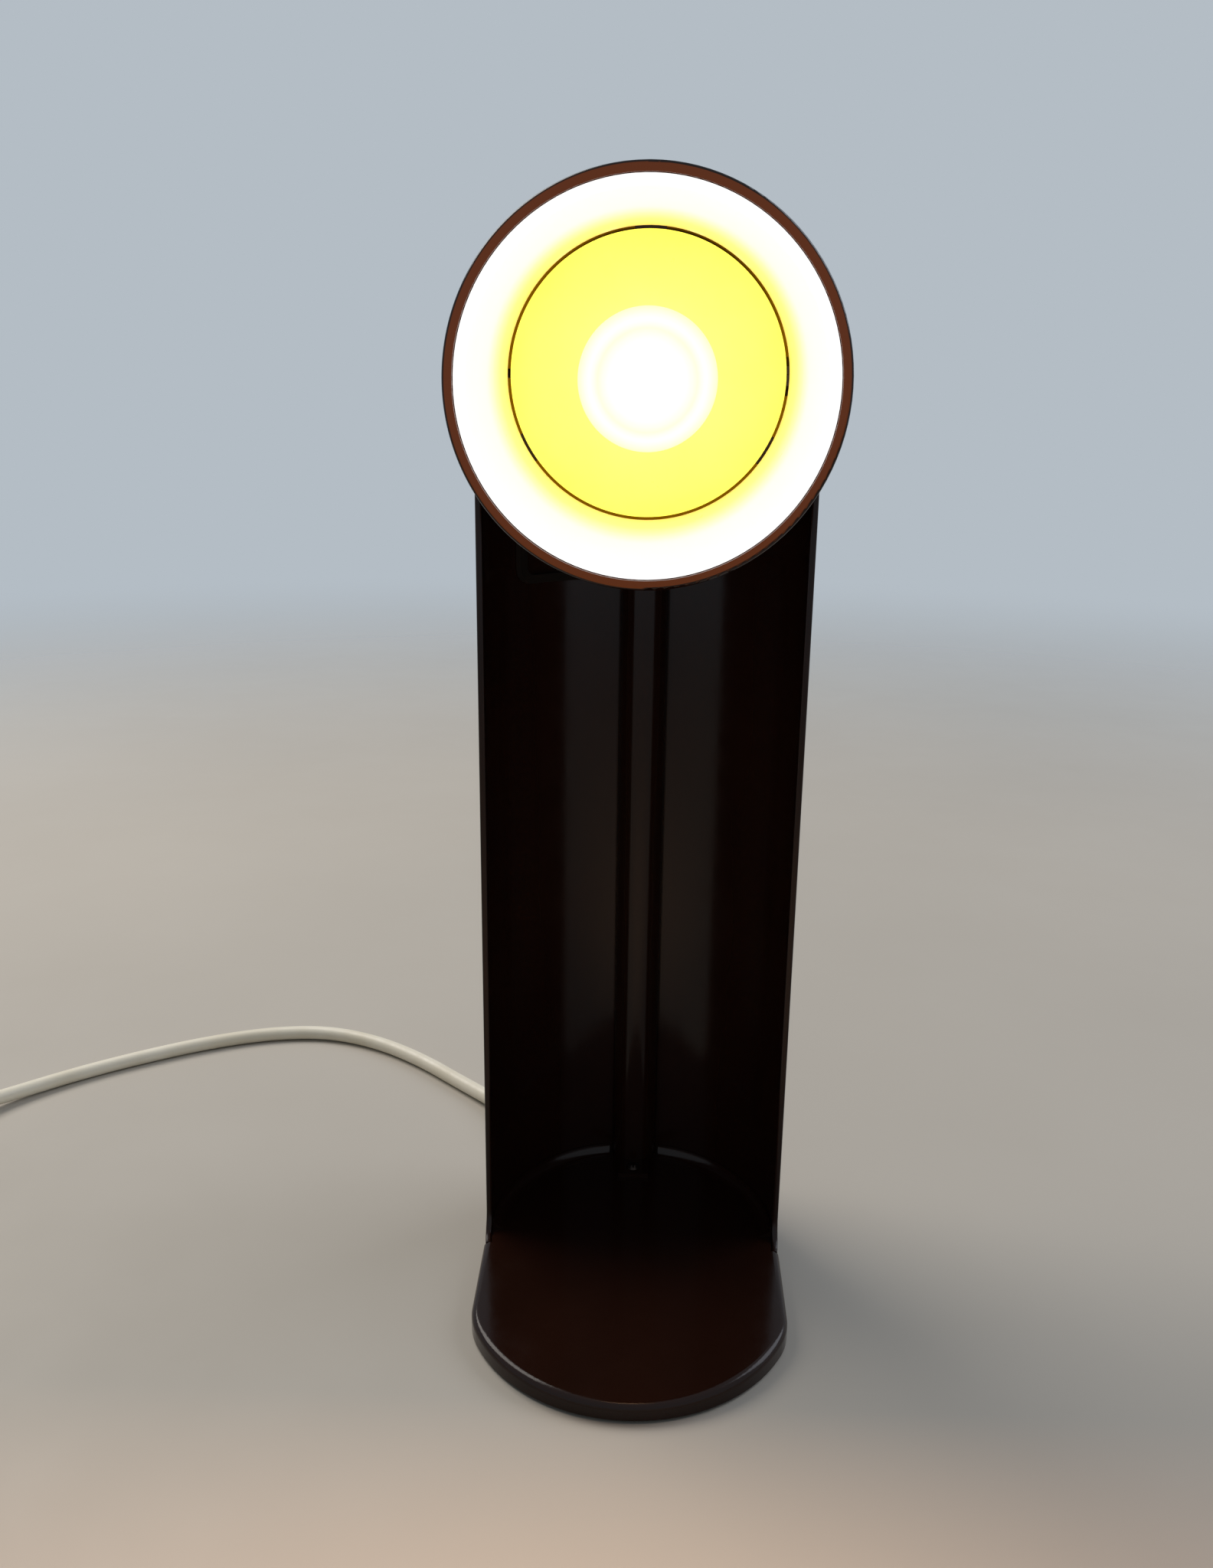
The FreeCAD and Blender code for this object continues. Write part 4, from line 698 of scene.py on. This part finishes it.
@dataclass
class Cord:
    """The mains cord from the strain relief to the plug, in its two free stretches.

    Attributes:
        diameter: Thickness of the sheath in millimetres.
        round_steps: Steps in the round of the sheath.
        path_steps: Steps from one control point to the next.
        tube_y: Y of the shell's axis.
        route: Points of the stretch that shows, about the shell's axis, from the relief to the switch.
        coil_outer: Radius of the coil's outermost turn.
        coil_pitch: Step from turn to turn.
        layer_pitch: Step from layer to layer.
        coil_lift: Height of the coil over the floor, where its strap passes below.
        turns: Turns in a layer.
        climb: Share of a turn in which the cord climbs a layer.
        steps: Control points in a turn.
        switch_length: Length of the switch on the cord.
        link_length: Cord between the switch and the coil.
        link_run: Straight run at both ends of that cord.
        tail: Points after the coil: forward, to the left, share of the way down to the plug.
        plug_height: Thickness of the plug.
        plug_ribs: Places of the ribs along the plug.
        plug_rib: Length, radius and sunk depth of such a rib.
        rocker_top: Height of the rocker's ends.
        rocker_half: Half its length.
        rocker_dish: Radius of its dished top.
        rocker_ribs: Places of the ribs along the rocker.
        rocker_rib: Length and radius of such a rib.
    """

    diameter: float = 6.5
    round_steps: int = 6
    path_steps: int = 10
    tube_y: float = 17.589
    route: tuple[tuple[float, float, float], ...] = (
        (-39.5, 68.42, 7.2), (-46.0, 79.67, 7.2), (-56.0, 93.0, 5.6), (-68.5, 107.0, 3.7),
        (-84.5, 122.0, 3.25), (-104.0, 140.0, 3.25), (-128.0, 156.5, 3.25), (-155.0, 166.0, 3.25),
        (-183.0, 163.5, 3.25), (-211.0, 152.5, 3.25), (-238.0, 136.5, 3.25), (-263.0, 118.5, 3.25),
        (-284.0, 98.0, 4.0), (-297.0, 80.0, 6.5), (-305.0, 62.0, 6.5))
    coil_outer: float = 47.6
    coil_pitch: float = 7.2
    layer_pitch: float = 7.0
    coil_lift: float = 1.0
    turns: float = 2.75
    climb: float = 0.5
    steps: int = 16
    switch_length: float = 60.0
    link_length: float = 32.0
    link_run: float = 10.0
    tail: tuple[tuple[float, float, float], ...] = ((14.0, 0.0, 0.0), (31.0, 1.5, 1.0), (46.0, 5.5, 1.0))
    plug_height: float = 13.7
    plug_ribs: tuple[float, ...] = (10.0, 12.5, 15.0, 17.5, 20.0, 22.5)
    plug_rib: tuple[float, float, float] = (16.0, 0.7, 0.2)
    rocker_top: float = 15.6
    rocker_half: float = 9.4
    rocker_dish: float = 30.0
    rocker_ribs: tuple[float, ...] = (-8.4, -7.0, -5.6, 5.6, 7.0, 8.4)
    rocker_rib: tuple[float, float] = (8.0, 0.35)

    def curve(self, name: str, points: list[Vector]) -> bpy.types.Object:
        """Makes a smooth round cord that follows control points.

        Args:
            name: Name of the piece.
            points: Control points in millimetres.

        Returns:
            The curve object.
        """
        data = bpy.data.curves.new(name, "CURVE")
        data.dimensions = "3D"
        data.bevel_depth = self.diameter / 2 * MM
        data.bevel_resolution = self.round_steps
        data.resolution_u = self.path_steps
        data.use_fill_caps = True
        spline = data.splines.new("NURBS")
        spline.points.add(len(points) - 1)
        for point, place in zip(spline.points, points):
            point.co = (*(place * MM), 1.0)
        spline.order_u = 3
        spline.use_endpoint_u = True
        data.materials.append(CREAM_PVC.make())
        piece = bpy.data.objects.new(name, data)
        bpy.context.scene.collection.objects.link(piece)
        return piece

    def heading(self) -> tuple[Vector, Vector]:
        """Works out how the cord enters the switch.

        Returns:
            The level direction in which it enters, and the direction to its left.
        """
        ahead = Vector(self.route[-1]) - Vector(self.route[-2])
        ahead.z = 0.0
        ahead.normalize()
        return ahead, Vector((-ahead.y, ahead.x, 0.0))

    def coil_place(self, centre: Vector, start: float, turn: float) -> Vector:
        """Gives a control point of the coil, which spirals in, climbs a layer and spirals out.

        The curve runs a little inside its control points, so they lie that much further out.

        Args:
            centre: Middle of the coil.
            start: Angle at which the cord enters.
            turn: Turns since then.

        Returns:
            The point in millimetres.
        """
        middle = self.turns + self.climb / 2
        shrink = (3 + math.cos(2 * math.pi / self.steps)) / 4
        rise = min(max((turn - self.turns) / self.climb, 0.0), 1.0)
        radius = (self.coil_outer - self.coil_pitch * (middle - abs(turn - middle))) / shrink
        angle = start + 2 * math.pi * turn
        height = self.diameter / 2 + self.coil_lift + self.layer_pitch * rise ** 2 * (3 - 2 * rise)
        return Vector((centre.x + radius * math.cos(angle), centre.y + radius * math.sin(angle), height))

    def coil(self, leave: Vector) -> tuple[list[Vector], Vector, Vector]:
        """Works out the coil's control points.

        Args:
            leave: Where the cord leaves the switch.

        Returns:
            The points with a straight end at both ends, and the headings of those ends.
        """
        ahead, aside = self.heading()
        enter = leave + ahead * (self.link_length + self.diameter)
        centre = enter + aside * self.coil_outer
        start = math.atan2(-aside.y, -aside.x)
        total = 2 * self.turns + self.climb
        count = round(self.steps * total)
        points = [self.coil_place(centre, start, total * i / count) for i in range(count + 1)]
        small = 1e-4
        head_way = (self.coil_place(centre, start, small) - points[0]).normalized()
        tail_way = (points[-1] - self.coil_place(centre, start, total - small)).normalized()
        points.insert(0, points[0] - head_way * self.diameter)
        points.append(points[-1] + tail_way * self.diameter)
        return points, head_way, tail_way

    def declare(self, piece: bpy.types.Object, solids: list[str]) -> None:
        """Args:
            piece: The curve.
            solids: The solids that it stands for.
        """
        length = self.measure(piece)
        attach(piece, Body.STAND.value)
        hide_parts(*solids)
        LOG.info("%s is %.0f mm long", piece.name, length / MM)

    def measure(self, piece: bpy.types.Object) -> float:
        """Measures a stretch along its middle.

        Args:
            piece: The curve.

        Returns:
            Its length in metres.
        """
        data = piece.data.copy()
        data.bevel_depth = 0.0
        line = bpy.data.objects.new("measured_line", data)
        mesh = bpy.data.meshes.new_from_object(line)
        length = sum((a.co - b.co).length for a, b in zip(mesh.vertices, mesh.vertices[1:]))
        bpy.data.objects.remove(line)
        bpy.data.curves.remove(data)
        bpy.data.meshes.remove(mesh)
        return length

    def build(self) -> None:
        """Makes the stretch that shows and the one from the switch to the plug."""
        ahead, aside = self.heading()
        run = [Vector(point) + Vector((0.0, self.tube_y, 0.0)) for point in self.route]
        leave = run[-1] + ahead * self.switch_length
        coil, head_way, tail_way = self.coil(leave)
        drop = Vector((0.0, 0.0, coil[-1].z - self.plug_height / 2))
        rest = [leave, leave + ahead * self.link_run, coil[0] - head_way * self.link_run, *coil]
        for forward, left, share in self.tail:
            rest.append(coil[-1] + tail_way * forward + aside * left - drop * share)
        self.declare(self.curve("cord_shown", run), ["cord_run"])
        wound = self.curve("cord_wound", rest)
        grip = self.plug_grip(rest)
        self.declare(wound, ["cord_link", "cord_coil", "cord_tail"])
        self.rocker_grip(run[-1] + ahead * self.switch_length / 2, ahead)

    def axes(self, place: Vector, way: Vector) -> Matrix:
        """Gives axes on the floor that follow a heading.

        Args:
            place: The point that they start from, in millimetres.
            way: The heading.

        Returns:
            The matrix, in metres.
        """
        turn = Matrix.Rotation(math.atan2(way.y, way.x), 4, "Z")
        return Matrix.Translation(Vector((place.x, place.y, 0.0)) * MM) @ turn

    def plug_grip(self, rest: list[Vector]) -> bpy.types.Object:
        """Puts ribs across the plug's top, where fingers hold it.

        Args:
            rest: Points of the cord up to the plug.

        Returns:
            The ribs.
        """
        length, radius, sunk = self.plug_rib
        places = [(x, 0.0, self.plug_height - sunk) for x in self.plug_ribs]
        host = self.axes(rest[-1], rest[-1] - rest[-2])
        return RibRow("plug_grip", places, length, radius, host, CREAM_UREA, Body.STAND,
                      "cream_plastic").build()

    def rocker_grip(self, middle: Vector, way: Vector) -> None:
        """Puts ribs on both ends of the switch's rocker, on its dished top.

        Args:
            middle: The switch's middle.
            way: The switch's heading.
        """
        over = self.rocker_top + math.sqrt(self.rocker_dish ** 2 - self.rocker_half ** 2)
        places = [(x, 0.0, over - math.sqrt(self.rocker_dish ** 2 - x ** 2)) for x in self.rocker_ribs]
        host = self.axes(middle, way)
        RibRow("rocker_grip", places, *self.rocker_rib, host, CREAM_UREA, Body.ROCKER, "cream_plastic").build()

    def dress(self, nodes: dict[str, bpy.types.Object]) -> None:
        """Gives the solids on the cord their finishes.

        Args:
            nodes: The frame's solids by name.
        """
        dress(nodes, CREAM_PVC, ("strain_relief", "cord_run", "cord_link", "cord_coil", "cord_tail"))
        dress(nodes, CREAM_UREA, ("switch_lower", "switch_upper", "switch_rocker", "plug_body"))
        dress(nodes, ZINC_STEEL, ("switch_screws",))
        dress(nodes, NYLON, ("cord_tie",))
        dress(nodes, NICKEL, ("plug_pins",))


@dataclass(frozen=True)
class SoftLight:
    """A soft square light.

    Attributes:
        name: Its name.
        place: Where it hangs, in metres.
        power: Watts.
        colour: Its colour.
        side: Length of its side in metres.
    """

    name: str
    place: tuple[float, float, float]
    power: float
    colour: str
    side: float = 1.1

    def hang(self, aim: tuple[float, float, float]) -> None:
        """Hangs the light.

        Args:
            aim: The point that it is turned to, in metres.
        """
        data = bpy.data.lights.new(self.name, "AREA")
        data.size = self.side
        data.energy = self.power
        data.color = linear(self.colour)[:3]
        lamp = bpy.data.objects.new(self.name, data)
        lamp.location = self.place
        lamp.rotation_euler = (Vector(aim) - Vector(self.place)).to_track_quat("-Z", "Y").to_euler()
        bpy.context.scene.collection.objects.link(lamp)


@dataclass
class Studio:
    """Floor, light and camera.

    Attributes:
        eye: The camera's place in millimetres.
        pitch: How far it looks down, in degrees.
        yaw: How far it looks to the right.
        roll: How far it leans.
        focal_px: Focal length in pixels of the photograph.
        frame_px: Longer side of the photograph in pixels.
        floor_half: Half the floor's side in metres.
        fade_start: How far from the lamp the floor starts to fade, in metres.
        fade_end: Where it has faded into the background.
        background: Colour of the background.
        soft_light: Strength of the light from all round.
        aim: What the lights point at, in metres.
        lights: The lights.
    """

    eye: tuple[float, float, float] = (2.3, -406.56, 313.66)
    pitch: float = 16.613
    yaw: float = -1.865
    roll: float = 0.708
    focal_px: float = 1700.0
    frame_px: float = 2048.0
    floor_half: float = 8.0
    fade_start: float = 0.5
    fade_end: float = 2.0
    background: str = "#B4BDC5"
    soft_light: float = 0.4
    aim: tuple[float, float, float] = (0.0, 0.0, 0.18)
    lights: tuple[SoftLight, ...] = (
        SoftLight("key", (-1.0, 0.7, 1.5), 22.0, "#FFF8F0"),
        SoftLight("fill", (1.4, 0.5, 1.2), 12.0, "#EEF3FF"))

    def camera(self) -> None:
        """Puts the camera at the photograph's viewpoint."""
        data = bpy.data.cameras.new("viewpoint")
        data.sensor_width = 36.0
        data.lens = self.focal_px / self.frame_px * data.sensor_width
        data.clip_start = 0.01
        pitch, yaw, roll = (math.radians(v) for v in (self.pitch, self.yaw, self.roll))
        forward = Vector((math.sin(yaw) * math.cos(pitch), math.cos(yaw) * math.cos(pitch), -math.sin(pitch)))
        level = Vector((math.cos(yaw), -math.sin(yaw), 0.0))
        above = level.cross(forward)
        right = level * math.cos(roll) + above * math.sin(roll)
        up = above * math.cos(roll) - level * math.sin(roll)
        turn = Matrix((right, up, -forward)).transposed().to_4x4()
        eye = bpy.data.objects.new("viewpoint", data)
        eye.matrix_world = Matrix.Translation(Vector(self.eye) * MM) @ turn
        bpy.context.scene.collection.objects.link(eye)
        bpy.context.scene.camera = eye

    def floor(self) -> None:
        """Lays a plain pale floor that fades into the background far from the lamp."""
        half = self.floor_half
        mesh = bpy.data.meshes.new("floor")
        mesh.from_pydata([(-half, -half, 0), (half, -half, 0), (half, half, 0), (-half, half, 0)], [],
                         [(0, 1, 2, 3)])
        floor = bpy.data.objects.new("floor", mesh)
        bpy.context.scene.collection.objects.link(floor)
        material = FLOOR_PAINT.make()
        tree = material.node_tree
        place = add_node(tree, "ShaderNodeTexCoord").outputs["Object"]
        far = add_node(tree, "ShaderNodeVectorMath", {0: place}, operation="LENGTH").outputs["Value"]
        share = add_node(tree, "ShaderNodeMapRange", {
            "Value": far, "From Min": self.fade_start, "From Max": self.fade_end},
            interpolation_type="SMOOTHSTEP").outputs["Result"]
        paint = tree.nodes["Principled BSDF"].outputs["BSDF"]
        clear = add_node(tree, "ShaderNodeBsdfTransparent").outputs["BSDF"]
        both = add_node(tree, "ShaderNodeMixShader", {0: share, 1: paint, 2: clear})
        tree.links.new(both.outputs["Shader"], tree.nodes["Material Output"].inputs["Surface"])
        mesh.materials.append(material)

    def world(self) -> None:
        """Gives soft light from all round, in front of a pale background that reflections show too."""
        world = bpy.data.worlds.new("studio")
        world.use_nodes = True
        tree = world.node_tree
        shader = tree.nodes["Background"]
        shader.inputs["Color"].default_value = linear(self.background)
        path = add_node(tree, "ShaderNodeLightPath").outputs
        seen = path["Is Camera Ray"]
        for way in ("Is Glossy Ray", "Is Transmission Ray"):
            seen = add_node(tree, "ShaderNodeMath", {0: seen, 1: path[way]}, operation="MAXIMUM").outputs[0]
        level = add_node(tree, "ShaderNodeMapRange", {"Value": seen, "To Min": self.soft_light, "To Max": 1.0})
        tree.links.new(level.outputs["Result"], shader.inputs["Strength"])
        bpy.context.scene.world = world

    def build(self) -> None:
        """Sets up the whole studio."""
        self.camera()
        self.floor()
        self.world()
        for light in self.lights:
            light.hang(self.aim)
        bpy.context.scene.view_settings.view_transform = "Standard"


def main() -> None:
    """Builds the looks round the frame."""
    logging.basicConfig(level=logging.INFO, format="%(name)s: %(message)s")
    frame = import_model()
    nodes = frame["nodes"]
    Studio().build()
    cord = Cord()
    cord.build()
    cord.dress(nodes)
    stand = Stand()
    stand.build()
    stand.dress(nodes)
    head = Head()
    head.dress(nodes)
    head.light()


if __name__ == "__main__":
    main()
